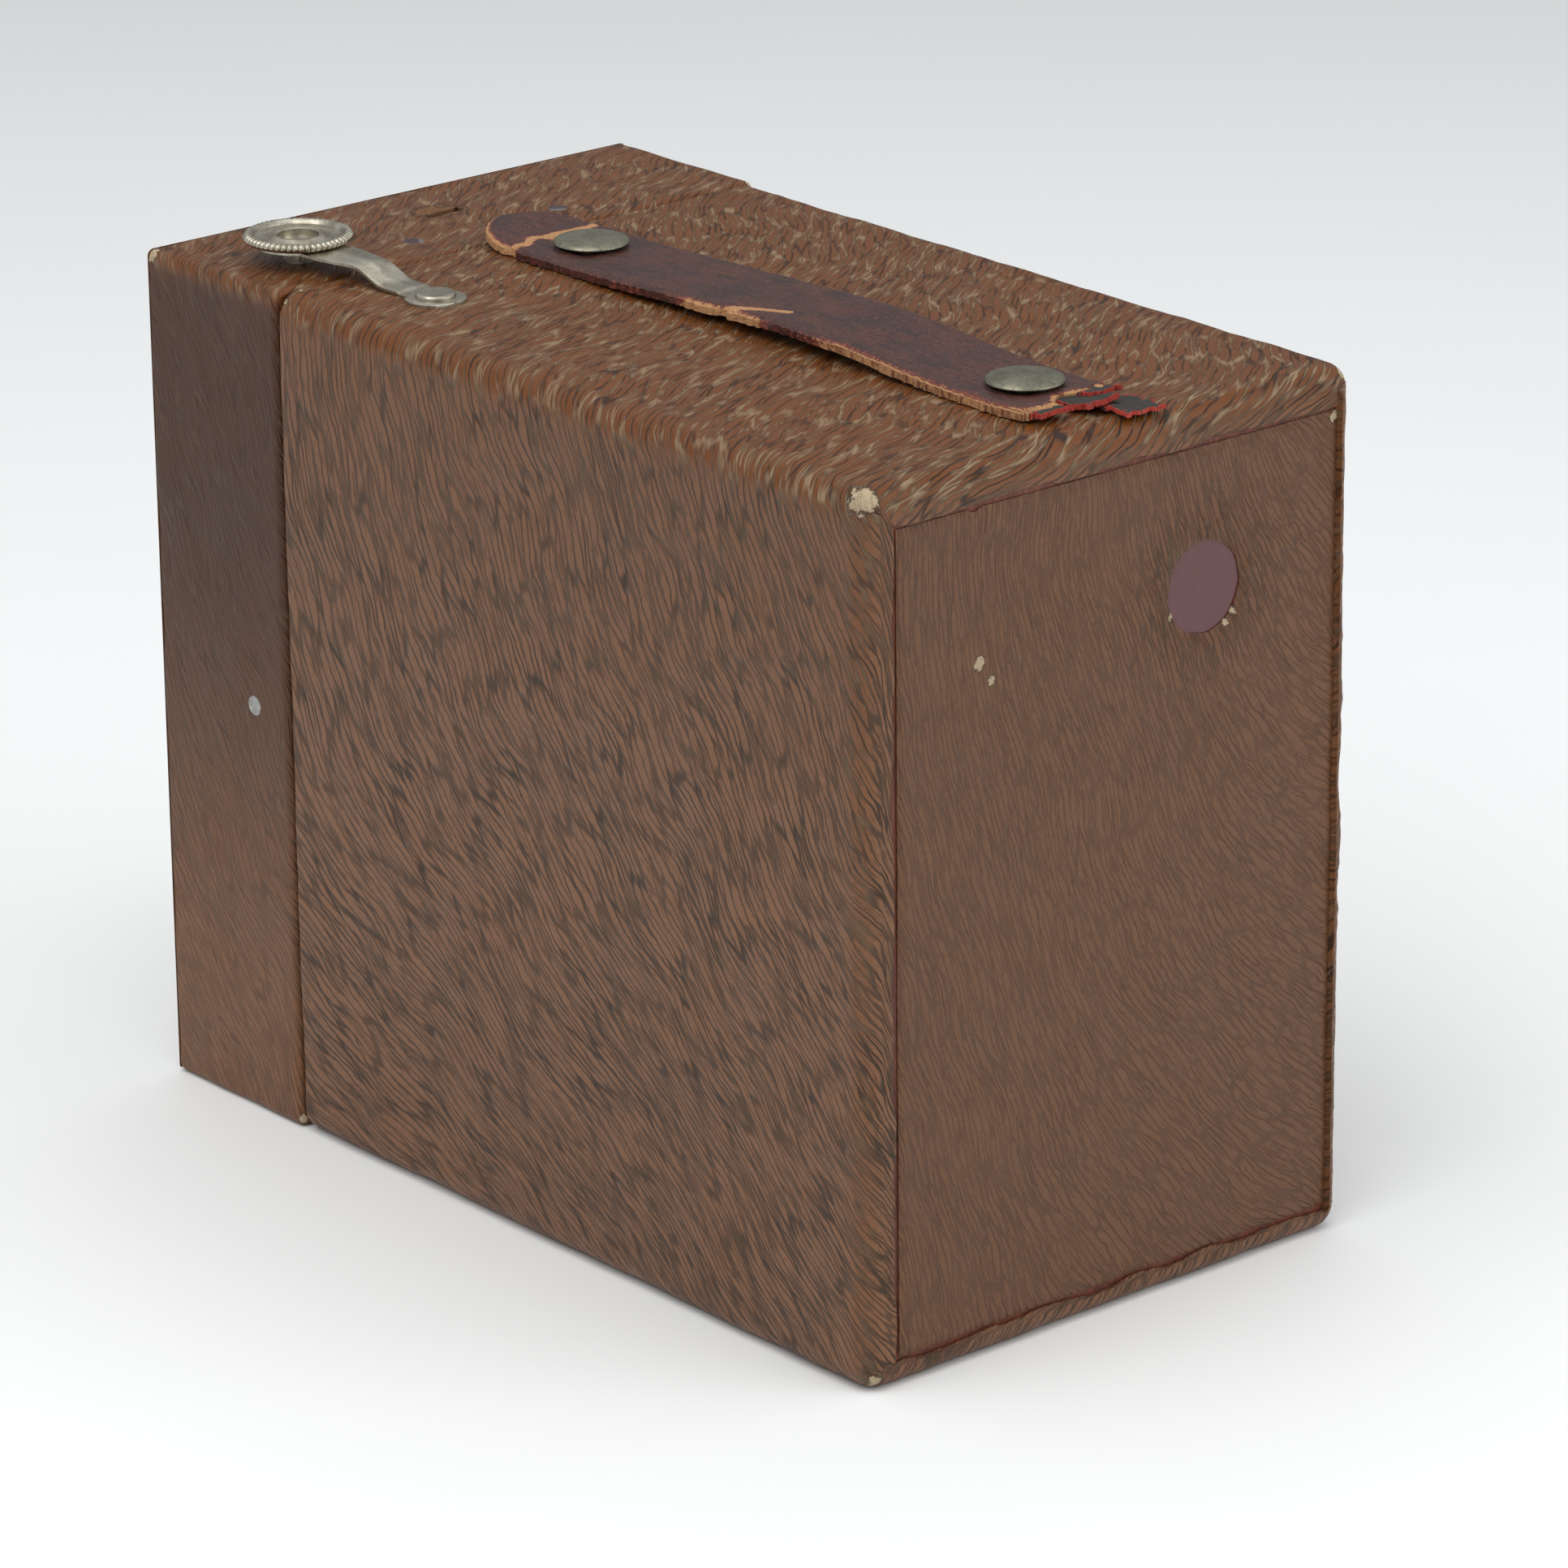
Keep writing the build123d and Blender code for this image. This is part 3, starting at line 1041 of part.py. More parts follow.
disc_front = DISC_Y - DISC / 2
PIVOT_R = 1.5
PIVOT_SEAT = 3.0
PIVOT_HEAD_R = 2.6
PIVOT_HEAD = 0.8
PIVOT_PLAY = 0.25
lever_back = LEVER_Y + LEVER / 2 + PIVOT_PLAY
with BuildPart() as shutter_pivots:
    with BuildSketch(Plane.XZ.offset(-LENS_BOARD_Y - PIVOT_SEAT)):
        with Locations((0, DISC_PIVOT_Z)):
            Circle(PIVOT_R)
    extrude(amount=PIVOT_SEAT + LENS_BOARD_Y - disc_front + PIVOT_PLAY)
    with BuildSketch(Plane.XZ.offset(-disc_front + PIVOT_PLAY)):
        with Locations((0, DISC_PIVOT_Z)):
            Circle(PIVOT_HEAD_R)
    extrude(amount=PIVOT_HEAD)
    with BuildSketch(Plane.XZ.offset(-LENS_BOARD_Y)):
        with Locations((0, DISC_PIVOT_Z)):
            Circle(2 * PIVOT_R)
    extrude(amount=LENS_BOARD_Y - disc_front - DISC - PIVOT_PLAY)
    with BuildSketch(Plane.XZ.offset(-PLATE_Y)):
        with Locations((LEVER_X, LEVER_Z)):
            Circle(PIVOT_R)
    extrude(amount=-(lever_back - PLATE_Y))
    with BuildSketch(Plane.XZ.offset(-lever_back)):
        with Locations((LEVER_X, LEVER_Z)):
            Circle(PIVOT_HEAD_R)
    extrude(amount=-PIVOT_HEAD)
shutter_pivots.part.label = "shutter_pivots"
export_step(shutter_pivots.part, "parts/shutter_pivots.step")

# The lever turns on the plate; its finger tab stands out of the right side.
LEVER_WIDE = 5.0
LEVER_REACH = 31.0      # pivot to the end of the finger tab
LEVER_TAIL = 14.0
lever_front = LEVER_Y - LEVER / 2
with BuildPart() as shutter_lever:
    with BuildSketch(Plane.XZ.offset(-lever_front)):
        with Locations(Location((LEVER_X, LEVER_Z), -LEVER_TILT)):
            with Locations(((LEVER_TAIL - LEVER_REACH) / 2, 0)):
                SlotOverall(LEVER_REACH + LEVER_TAIL, LEVER_WIDE)
            with Locations((-LEVER_REACH + 3.4, 0)):
                Circle(3.4)
            Circle(PIVOT_R + FIT, mode=Mode.SUBTRACT)
    extrude(amount=-LEVER)
shutter_lever.part.label = "shutter_lever"
export_step(shutter_lever.part, "parts/shutter_lever.step")

# A leaf spring stands on the plate's back and bears near the lever's tail.
SPRING_LEAF = 0.4
SPRING_X = LEVER_X + LEVER_TAIL + 3.0
SPRING_LONG = 9.0
SPRING_BACK_Y = LEVER_Y + 1.2
with BuildPart() as lever_spring:
    with BuildSketch(Plane.XY.offset(LEVER_Z + 4.0)):
        with BuildLine():
            Polyline((SPRING_X, plate_back), (SPRING_X, SPRING_BACK_Y),
                     (SPRING_X + SPRING_LONG, SPRING_BACK_Y))
        trace(line_width=SPRING_LEAF)
    extrude(amount=4.0)
lever_spring.part.label = "lever_spring"
export_step(lever_spring.part, "parts/lever_spring.step")

# Three stops in one slide. Pulled up by its tab, it brings the smaller ones before the lens.
STOP_RADII = (10.0, 6.0, 3.0)
STOP_TOP = HEIGHT - 1.2
stop_front = STOP_Y - STOP / 2
slide_low = MID_Z - 2 * STOP_STEP - 8.0
slide_high = MID_Z + 14.0
TAB_LAP = 0.2           # overlap of the tab with the slide
with BuildPart() as stop_slide:
    with BuildSketch(Plane.XZ.offset(-stop_front)):
        with Locations((0, (slide_low + slide_high) / 2)):
            Rectangle(2 * STOP_HALF, slide_high - slide_low)
        with Locations((STOP_SLOT_X, (slide_high + STOP_TOP) / 2)):
            Rectangle(STOP_TAB, STOP_TOP - slide_high + TAB_LAP)
        for step, radius in enumerate(STOP_RADII):
            with Locations((0, MID_Z - step * STOP_STEP)):
                Circle(radius, mode=Mode.SUBTRACT)
    extrude(amount=-STOP)
stop_slide.part.label = "stop_slide"
export_step(stop_slide.part, "parts/stop_slide.step")

GUIDE_PLAY = 0.3
GUIDE_WIDE = 3.0
GUIDE_LIP = 2.0
GUIDE_SHEET = 0.8
GUIDE_HALF_Z = 34.0
with BuildPart() as stop_guides:
    for side in (1, -1):
        inner = STOP_HALF + GUIDE_PLAY
        with BuildSketch(Plane.XY.offset(MID_Z - GUIDE_HALF_Z)):
            with BuildLine():
                Polyline((side * (inner - GUIDE_LIP), PLATE_Y),
                         (side * (inner + GUIDE_WIDE), PLATE_Y),
                         (side * (inner + GUIDE_WIDE), stop_front - GUIDE_PLAY - GUIDE_SHEET),
                         (side * (inner - GUIDE_LIP), stop_front - GUIDE_PLAY - GUIDE_SHEET),
                         (side * (inner - GUIDE_LIP), stop_front - GUIDE_PLAY),
                         (side * inner, stop_front - GUIDE_PLAY),
                         (side * inner, stop_front + STOP + GUIDE_PLAY),
                         (side * (inner - GUIDE_LIP), stop_front + STOP + GUIDE_PLAY), close=True)
            make_face()
        extrude(amount=2 * GUIDE_HALF_Z)
stop_guides.part.label = "stop_guides"
export_step(stop_guides.part, "parts/stop_guides.step")

# ------------------------------------------------------ front ring, stud, finder

RING_WIDE = 4.0
RING_PROUD = 0.9
RING_ROUND = 0.4
with BuildPart() as front_ring:
    with BuildSketch(Plane.XZ.offset(-FRONT_Y)):
        with Locations((0, MID_Z)):
            Circle(FRONT_OPENING_R + RING_WIDE)
            Circle(FRONT_OPENING_R, mode=Mode.SUBTRACT)
    extrude(amount=RING_PROUD)
    fillet(front_ring.edges().filter_by(GeomType.CIRCLE).group_by(Axis.Y)[0], RING_ROUND)
front_ring.part.label = "front_ring"
export_step(front_ring.part, "parts/front_ring.step")

LATCH_STUD_BASE_R = 3.2
LATCH_STUD_HEAD_R = 1.8
LATCH_STUD_TOP = HEIGHT + LATCH_LIFT - 0.4
LATCH_STUD_HEAD = 1.1
LATCH_STUD_ROUND = 0.8
stud_base_high = HEIGHT + 0.5
with BuildPart() as latch_stud:
    for radius, low, high in ((LATCH_STUD_R, RIM_INNER_TOP, stud_base_high),
                              (LATCH_STUD_BASE_R, HEIGHT, stud_base_high),
                              (LATCH_STUD_R, stud_base_high, LATCH_STUD_TOP - LATCH_STUD_HEAD),
                              (LATCH_STUD_HEAD_R, LATCH_STUD_TOP - LATCH_STUD_HEAD, LATCH_STUD_TOP)):
        with BuildSketch(Plane.XY.offset(low)):
            with Locations((RING_X, RING_Y)):
                Circle(radius)
        extrude(amount=high - low)
    fillet(latch_stud.edges().sort_by(Axis.Z)[-1], LATCH_STUD_ROUND)
latch_stud.part.label = "latch_stud"
export_step(latch_stud.part, "parts/latch_stud.step")

FINDER_GLASS = 1.6
with BuildPart() as finder_lens:
    with BuildSketch(Plane.XZ.offset(-FACE_WOOD_Y - 1.0)):
        with Locations((FINDER_X, FINDER_Z)):
            Circle(FINDER_LENS_R)
    extrude(amount=-FINDER_GLASS)
finder_lens.part.label = "finder_lens"
export_step(finder_lens.part, "parts/finder_lens.step")

with BuildPart() as finder_screen:
    with BuildSketch(Plane.YZ.offset(-WOOD_X)):
        with Locations((FINDER_Y, FINDER_Z)):
            Rectangle(SCREEN_Y, SCREEN_Z)
    extrude(amount=-LEATHER)
finder_screen.part.label = "finder_screen"
export_step(finder_screen.part, "parts/finder_screen.step")

MIRROR_HALF = 9.0
MIRROR_THICK = 1.2
MIRROR_HIGH = 22.0
with BuildPart() as finder_mirror:
    with BuildSketch(Plane.XY.offset(FINDER_Z - MIRROR_HIGH / 2)):
        with Locations(Location((FINDER_X + 1.5, FINDER_Y + 1.5), 45)):
            Rectangle(2 * MIRROR_HALF, MIRROR_THICK)
    extrude(amount=MIRROR_HIGH)
finder_mirror.part.label = "finder_mirror"
export_step(finder_mirror.part, "parts/finder_mirror.step")

# ------------------------------------------------------------------ hinge screws

def hinge_screws(direction):
    """Three screws in each leaf on one side of the seam."""
    with BuildPart() as screws:
        for z in HINGE_Z:
            for radius, depth in ((HINGE_SCREW_R, HINGE_SCREW_LONG + LEAF),
                                  (HINGE_SCREW_HEAD_R, -HINGE_SCREW_HEAD)):
                with BuildSketch(Plane.YZ.offset(-SIDE_X - LEAF)):
                    with Locations(*screw_spots(direction, z)):
                        Circle(radius)
                extrude(amount=depth)
    return screws


hinge_case_screws = hinge_screws(1)
hinge_case_screws.part.label = "hinge_case_screws"
export_step(hinge_case_screws.part, "parts/hinge_case_screws.step")

hinge_front_screws = hinge_screws(-1)
hinge_front_screws.part.label = "hinge_front_screws"
export_step(hinge_front_screws.part, "parts/hinge_front_screws.step")
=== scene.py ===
import math
import bpy
import numpy as np
from mathutils import Matrix, Vector

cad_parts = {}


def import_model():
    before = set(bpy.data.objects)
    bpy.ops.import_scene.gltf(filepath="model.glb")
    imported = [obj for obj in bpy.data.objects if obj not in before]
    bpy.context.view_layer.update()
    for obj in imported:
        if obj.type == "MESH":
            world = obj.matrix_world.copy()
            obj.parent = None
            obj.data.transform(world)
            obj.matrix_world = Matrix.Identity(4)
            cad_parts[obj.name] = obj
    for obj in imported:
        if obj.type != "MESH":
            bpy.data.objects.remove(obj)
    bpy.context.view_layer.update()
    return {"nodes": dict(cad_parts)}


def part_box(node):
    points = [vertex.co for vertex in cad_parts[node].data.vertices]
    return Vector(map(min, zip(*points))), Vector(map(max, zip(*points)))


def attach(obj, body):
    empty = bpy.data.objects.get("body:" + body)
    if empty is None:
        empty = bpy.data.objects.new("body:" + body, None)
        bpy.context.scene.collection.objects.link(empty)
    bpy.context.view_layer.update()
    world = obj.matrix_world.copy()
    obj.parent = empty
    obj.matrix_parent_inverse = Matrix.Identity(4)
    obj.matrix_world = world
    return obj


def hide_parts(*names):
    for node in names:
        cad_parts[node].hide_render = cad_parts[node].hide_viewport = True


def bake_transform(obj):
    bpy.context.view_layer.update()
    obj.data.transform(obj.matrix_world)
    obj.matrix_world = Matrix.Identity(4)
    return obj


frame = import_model()

# All shapes below are in millimetres; MM turns them into Blender's metres.
MM = 0.001


def node_box(node):
    """Lowest and highest corner of a CAD node, in mm."""
    low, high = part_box(node)
    return np.array(low) / MM, np.array(high) / MM


CASE_LOW, CASE_HIGH = node_box("case_leather")
FRONT_HIGH = node_box("front_leather")[1]
PANEL_LOW, PANEL_HIGH = node_box("back_leather")
STRAP_LOW, STRAP_HIGH = node_box("strap")
STUD_LOW, STUD_HIGH = node_box("strap_studs")
RING_LOW, RING_HIGH = node_box("latch_ring")
FOOT_LOW, FOOT_HIGH = node_box("latch_foot")
FACE_HIGH = node_box("front_ring")[1]
SIDE_X = CASE_HIGH[0]
TOP_Z = CASE_HIGH[2]
SKIN = 0.8              # thickness of the leather
SKIN_STEP = 1.6         # spacing of the points of a skin
PANEL_STEP = 0.85       # spacing of the points of the back panel
CASE_EDGE = 4.9         # rounding of the case's long edges
REAR_EDGE = 4.2         # rounding of the edges round the back
FRONT_EDGE = 1.8        # rounding of the edges round the lens end
SEAM_EDGE = 1.1         # rounding of the case's edges at the seam
ARC_STEPS = 6           # steps of points round a corner
WINDOW = (sum(node_box("red_window")) / 2)[[0, 2]]     # its middle, in X and Z
WINDOW_R = 9.0


# ------------------------------------------------------------------ mesh helpers
def waves(x, y, pitch, seed, count=8):
    """A smooth random height of about -1 to 1, with waves near the given pitch."""
    rng = np.random.default_rng(seed)
    total = np.zeros(np.broadcast(x, y).shape)
    for _ in range(count):
        turn = rng.uniform(0, 2 * math.pi)
        stretch = rng.uniform(0.6, 1.7)
        phase = rng.uniform(0, 2 * math.pi)
        wave = (x * math.cos(turn) + y * math.sin(turn)) * stretch / pitch
        total = total + np.sin(2 * math.pi * wave + phase)
    return total / math.sqrt(count)


def smooth(value, low, high):
    """0 below low, 1 above high, smooth between."""
    t = np.clip((value - low) / (high - low), 0, 1)
    return t * t * (3 - 2 * t)


def make_object(name, points, faces, attributes, body, material):
    """A mesh object of points in mm, riding on a body."""
    mesh = bpy.data.meshes.new(name)
    mesh.from_pydata((np.asarray(points) * MM).tolist(), [], [list(f) for f in faces])
    for key, values in attributes.items():
        values = np.asarray(values, np.float32)
        kind = "FLOAT_VECTOR" if values.ndim == 2 else "FLOAT"
        data = mesh.attributes.new(key, kind, "POINT").data
        data.foreach_set("vector" if kind == "FLOAT_VECTOR" else "value", values.ravel())
    mesh.validate()
    mesh.shade_smooth()
    mesh.set_sharp_from_angle(angle=math.radians(48))
    obj = bpy.data.objects.new(name, mesh)
    bpy.context.scene.collection.objects.link(obj)
    mesh.materials.append(material)
    if body:
        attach(obj, body)
    return obj


def grid_normals(grid):
    """Unit normals of a grid of points (rows, columns, 3)."""
    down = np.gradient(grid, axis=0)
    over = np.gradient(grid, axis=1)
    normal = np.cross(down, over)
    return normal / np.maximum(np.linalg.norm(normal, axis=2, keepdims=True), 1e-9)


def sheet(name, outer, inner, body, slot, material, keep=None, **attributes):
    """A closed sheet between two grids of points; keep says which cells are there."""
    rows, columns = outer.shape[:2]
    total = rows * columns
    index = np.arange(total).reshape(rows, columns)
    if keep is None:
        keep = np.ones((rows - 1, columns - 1), bool)
    corners = (index[:-1, :-1], index[1:, :-1], index[1:, 1:], index[:-1, 1:])
    upper = np.stack([c[keep] for c in corners], 1)
    lower = upper[:, ::-1] + total
    start = upper.ravel()
    end = np.roll(upper, -1, axis=1).ravel()
    rim = ~np.isin(start * total + end, end * total + start)
    a, b = start[rim], end[rim]
    walls = np.stack([b, a, a + total, b + total], 1)
    faces = np.concatenate([upper, lower, walls])
    used, faces = np.unique(faces, return_inverse=True)
    faces = faces.reshape(-1, 4)
    points = np.concatenate([outer.reshape(-1, 3), inner.reshape(-1, 3)])[used]
    doubled = {}
    for key, values in attributes.items():
        flat = np.asarray(values).reshape(total, -1)
        flat = np.concatenate([flat, flat])[used]
        doubled[key] = flat if flat.shape[1] > 1 else flat[:, 0]
    return make_object(name, points, faces, doubled, body, material)


def trim(x, y, inside):
    """Cuts a flat grid to where inside(x, y) > 0: returns moved x, y and the kept cells."""
    middle_x = (x[:-1, :-1] + x[1:, :-1] + x[1:, 1:] + x[:-1, 1:]) / 4
    middle_y = (y[:-1, :-1] + y[1:, :-1] + y[1:, 1:] + y[:-1, 1:]) / 4
    keep = inside(middle_x, middle_y) > 0
    near_kept = np.zeros(x.shape, bool)
    near_lost = np.zeros(x.shape, bool)
    for i in (0, 1):
        for j in (0, 1):
            rows = slice(i, x.shape[0] - 1 + i)
            columns = slice(j, x.shape[1] - 1 + j)
            near_kept[rows, columns] |= keep
            near_lost[rows, columns] |= ~keep
    border = near_kept & near_lost
    x, y = x.copy(), y.copy()
    small = 0.02
    for _ in range(3):
        f = inside(x, y)
        slope_x = (inside(x + small, y) - f) / small
        slope_y = (inside(x, y + small) - f) / small
        steep = np.maximum(slope_x ** 2 + slope_y ** 2, 0.05)
        step = np.clip(f / steep, -1.2, 1.2)
        x[border] -= (step * slope_x)[border]
        y[border] -= (step * slope_y)[border]
    return x, y, keep


def lathe(name, profile, centre, segments, body, material, wobble=None):
    """A solid of revolution about the vertical through centre; the profile is (radius, z)."""
    profile = np.array(profile, float)
    turn = np.linspace(0, 2 * math.pi, segments, endpoint=False)
    radius = np.repeat(profile[:, :1], segments, axis=1)
    height = np.repeat(profile[:, 1:], segments, axis=1)
    if wobble:
        radius, height = wobble(radius, height, turn)
    x = centre[0] + radius * np.cos(turn)
    y = centre[1] + radius * np.sin(turn)
    points = np.stack([x, y, height], 2).reshape(-1, 3)
    index = np.arange(len(points)).reshape(len(profile), segments)
    following = np.roll(index, -1, axis=1)
    faces = np.stack([index[:-1], index[1:], following[1:], following[:-1]], 2).reshape(-1, 4)
    caps = [list(index[0]), list(index[-1][::-1])]
    return make_object(name, points, faces.tolist() + caps, {}, body, material)


# ------------------------------------------------------------------ grain of the hide
def integrate(row_steps, column_steps):
    """The grid function whose steps along rows and columns are nearest the given ones."""
    shape = (row_steps.shape[0] + 1, row_steps.shape[1])

    def gather(a, b):
        out = np.zeros(shape)
        out[1:] += a
        out[:-1] -= a
        out[:, 1:] += b
        out[:, :-1] -= b
        return out

    value = np.zeros(shape)
    rest = gather(row_steps, column_steps)
    way = rest.copy()
    size = (rest * rest).sum()
    for _ in range(900):
        push = gather(way[1:] - way[:-1], way[:, 1:] - way[:, :-1])
        amount = size / (way * push).sum()
        value += amount * way
        rest -= amount * push
        new_size = (rest * rest).sum()
        if new_size < 1e-7:
            break
        way = rest + new_size / size * way
        size = new_size
    return value


def grain_coordinates(across, along, places, reach=26.0):
    """Distances along and across the creases of a hide laid flat, whose directions are
    set at a few places: (first coordinate, second coordinate, degrees)."""
    cos_sum = np.zeros(across.shape)
    sin_sum = np.zeros(across.shape)
    for a, b, degrees in places:
        distance = (across - a) ** 2 + (along - b) ** 2
        weight = np.exp(-distance / (2 * reach ** 2)) + 1e-6 / (1 + distance)
        cos_sum += weight * math.cos(math.radians(degrees))
        sin_sum += weight * math.sin(math.radians(degrees))
    angle = np.arctan2(sin_sum, cos_sum) + 0.22 * waves(across, along, 38.0, 5)
    flow = np.stack([-np.sin(angle), np.cos(angle)])
    normal = np.stack([np.cos(angle), np.sin(angle)])
    result = []
    for field in (flow, normal):
        steps = []
        for axis in (0, 1):
            first = [slice(None), slice(None)]
            second = [slice(None), slice(None)]
            first[axis] = slice(None, -1)
            second[axis] = slice(1, None)
            first, second = tuple(first), tuple(second)
            mean = (field[(slice(None),) + first] + field[(slice(None),) + second]) / 2
            steps.append(mean[0] * (across[second] - across[first])
                         + mean[1] * (along[second] - along[first]))
        result.append(integrate(*steps))
    return np.stack(result + [np.zeros(across.shape)], 2)


# ------------------------------------------------------------------ materials
class Graph:
    """Builds one node material."""

    def __init__(self, name):
        self.material = bpy.data.materials.new(name)
        self.material.use_nodes = True
        self.tree = self.material.node_tree
        self.shader = self.tree.nodes["Principled BSDF"]

    def put(self, node, socket, value):
        target = node.inputs[socket]
        if isinstance(value, bpy.types.NodeSocket):
            self.tree.links.new(value, target)
        else:
            target.default_value = value

    def add(self, kind, output=0, sockets=None, **settings):
        node = self.tree.nodes.new(kind)
        for key, value in settings.items():
            setattr(node, key, value)
        for key, value in (sockets or {}).items():
            self.put(node, key, value)
        return node.outputs[output]

    def math(self, operation, a, b=0.0, c=0.0):
        return self.add("ShaderNodeMath", operation=operation, sockets={0: a, 1: b, 2: c})

    def scale(self, vector, x, y, z):
        return self.add("ShaderNodeVectorMath", operation="MULTIPLY", sockets={0: vector, 1: (x, y, z)})

    def shift(self, vector, other):
        return self.add("ShaderNodeVectorMath", operation="ADD", sockets={0: vector, 1: other})

    def noise(self, vector, scale, detail=3.0, roughness=0.55, output=0, distortion=0.0):
        sockets = {"Vector": vector, "Scale": scale, "Detail": detail,
                   "Roughness": roughness, "Distortion": distortion}
        return self.add("ShaderNodeTexNoise", output=output, sockets=sockets)

    def ramp(self, value, low, high, start=0.0, end=1.0):
        """start below low, end above high, smooth between."""
        sockets = {"Value": value, "From Min": low, "From Max": high, "To Min": start, "To Max": end}
        return self.add("ShaderNodeMapRange", interpolation_type="SMOOTHSTEP", sockets=sockets)

    def mix(self, amount, a, b, blend="MIX"):
        sockets = {0: amount, 6: a, 7: b}
        return self.add("ShaderNodeMix", output=2, data_type="RGBA", blend_type=blend, sockets=sockets)

    def attribute(self, name, output=1):
        return self.add("ShaderNodeAttribute", output=output, attribute_name=name)

    def bump(self, height, distance, strength=1.0):
        sockets = {"Height": height, "Distance": distance, "Strength": strength}
        self.put(self.shader, "Normal", self.add("ShaderNodeBump", sockets=sockets))

    def place(self):
        """Object position in mm."""
        return self.scale(self.add("ShaderNodeTexCoord", output=3), 1 / MM, 1 / MM, 1 / MM)

    def finish(self, colour, roughness, **constants):
        self.put(self.shader, "Base Color", colour)
        self.put(self.shader, "Roughness", roughness)
        for key, value in constants.items():
            self.shader.inputs[key.replace("_", " ")].default_value = value
        return self.material


def rgb(red, green, blue):
    """A colour given as display values 0 to 255."""
    linear = []
    for value in (red, green, blue):
        value = value / 255
        linear.append(value / 12.92 if value < 0.04045 else ((value + 0.055) / 1.055) ** 2.4)
    return (*linear, 1.0)


def leather(name, with_grain=True):
    """Straight-grained leather: long broken creases, with painted light in the colour: orange with painted
    highlights on the top and edges, grey with a painted floor reflection on the sides.
    """
    g = Graph(name)
    place = g.place()
    if with_grain:
        grain = g.attribute("grain")
        finish = g.add("ShaderNodeSeparateXYZ", sockets={0: g.attribute("finish")}).node
        painted_light_mix, tear, gloss = finish.outputs[0], finish.outputs[1], finish.outputs[2]
        tone = g.add("ShaderNodeSeparateXYZ", sockets={0: g.attribute("tone")}).node
        shade, depth, brown = tone.outputs[0], tone.outputs[1], tone.outputs[2]
    else:
        split = g.add("ShaderNodeSeparateXYZ", sockets={0: place}).node
        along = g.math("ADD", split.outputs[0], g.math("MULTIPLY", split.outputs[1], 0.6))
        grain = g.add("ShaderNodeCombineXYZ", sockets={0: split.outputs[2], 1: along})
        painted_light_mix, tear, gloss, shade, depth, brown = 0.25, 0.0, 0.0, 0.9, 0.7, 0.0
    warp = g.noise(g.scale(grain, 0.16, 0.30, 0.0), 1.0, 2.0, 0.5, output=1)
    warp = g.scale(g.shift(warp, (-0.5, -0.5, -0.5)), 3.0, 1.7, 0.0)
    bent = g.shift(grain, warp)
    cells = g.add("ShaderNodeTexVoronoi", feature="DISTANCE_TO_EDGE", voronoi_dimensions="2D",
                  sockets={"Vector": g.scale(bent, 0.062, 0.66, 0.0), "Scale": 1.0, "Randomness": 0.95})
    crease = g.ramp(cells, 0.02, 0.15, 1.0, 0.0)
    streak = g.noise(g.scale(bent, 0.05, 0.9, 0.0), 1.0, 1.0, 0.5)
    streak = g.math("ABSOLUTE", g.math("SUBTRACT", streak, 0.5))
    streak = g.ramp(streak, 0.0, 0.06, 1.0, 0.0)
    broken = g.ramp(g.noise(g.scale(grain, 0.12, 0.4, 0.0), 1.0, 2.0), 0.40, 0.60)
    streak = g.math("MULTIPLY", streak, broken)
    strength = g.ramp(g.noise(g.scale(grain, 0.05, 0.12, 0.0), 1.0, 2.0), 0.3, 0.7, 0.62, 1.0)
    groove = g.math("MAXIMUM", g.math("MULTIPLY", crease, strength), g.math("MULTIPLY", streak, 0.85))
    groove = g.math("MULTIPLY", groove, depth)
    pebble = g.noise(place, 2.6, 2.0, 0.6)
    patch = g.noise(place, 0.045, 4.0, 0.6)
    fleck = g.noise(place, 0.9, 3.0, 0.65)

    # painted light: the first finish channel mixes the grey of a painted floor reflection on the sides
    # with the orange of the top and of painted highlights on rounded edges
    dull = g.mix(patch, rgb(112, 76, 50), rgb(130, 88, 58))
    bright = g.mix(patch, rgb(96, 52, 12), rgb(118, 64, 14))
    body = g.mix(painted_light_mix, dull, bright)
    body = g.mix(g.ramp(fleck, 0.35, 0.8, 0.0, 0.35), body, rgb(70, 42, 22))
    # painted light in the grain's creases: dark painted shade on the sides, pale grey painted sheen
    # streaks on the top
    crease_shade_and_sheen = g.mix(painted_light_mix, rgb(36, 26, 16), g.mix(broken, rgb(44, 22, 8), rgb(142, 118, 90)))
    colour = g.mix(g.math("MULTIPLY", groove, 0.85), body, crease_shade_and_sheen)
    colour = g.mix(shade, rgb(38, 18, 8), colour)

    tatter = g.math("SUBTRACT", g.noise(place, 0.42, 6.0, 0.72), 0.5)
    ragged = g.math("ADD", tear, g.math("MULTIPLY", tatter, 1.5))
    torn = g.ramp(ragged, 0.46, 0.56)
    fibre = g.noise(g.scale(place, 1.0, 0.5, 3.0), 1.6, 4.0, 0.7)
    cream = g.mix(fibre, rgb(150, 112, 72), rgb(240, 224, 190))
    cream = g.mix(brown, cream, g.mix(fibre, rgb(74, 46, 24), rgb(158, 112, 72)))
    rim = g.math("MULTIPLY", g.ramp(ragged, 0.38, 0.47), g.ramp(ragged, 0.47, 0.56, 1.0, 0.0))
    colour = g.mix(rim, colour, rgb(58, 32, 16))
    colour = g.mix(torn, colour, cream)
    if with_grain:
        # screw heads under the leather show as dull marks
        mark = g.ramp(g.attribute("mark", output=2), 0.45, 0.58)
        colour = g.mix(mark, colour, rgb(74, 56, 60))

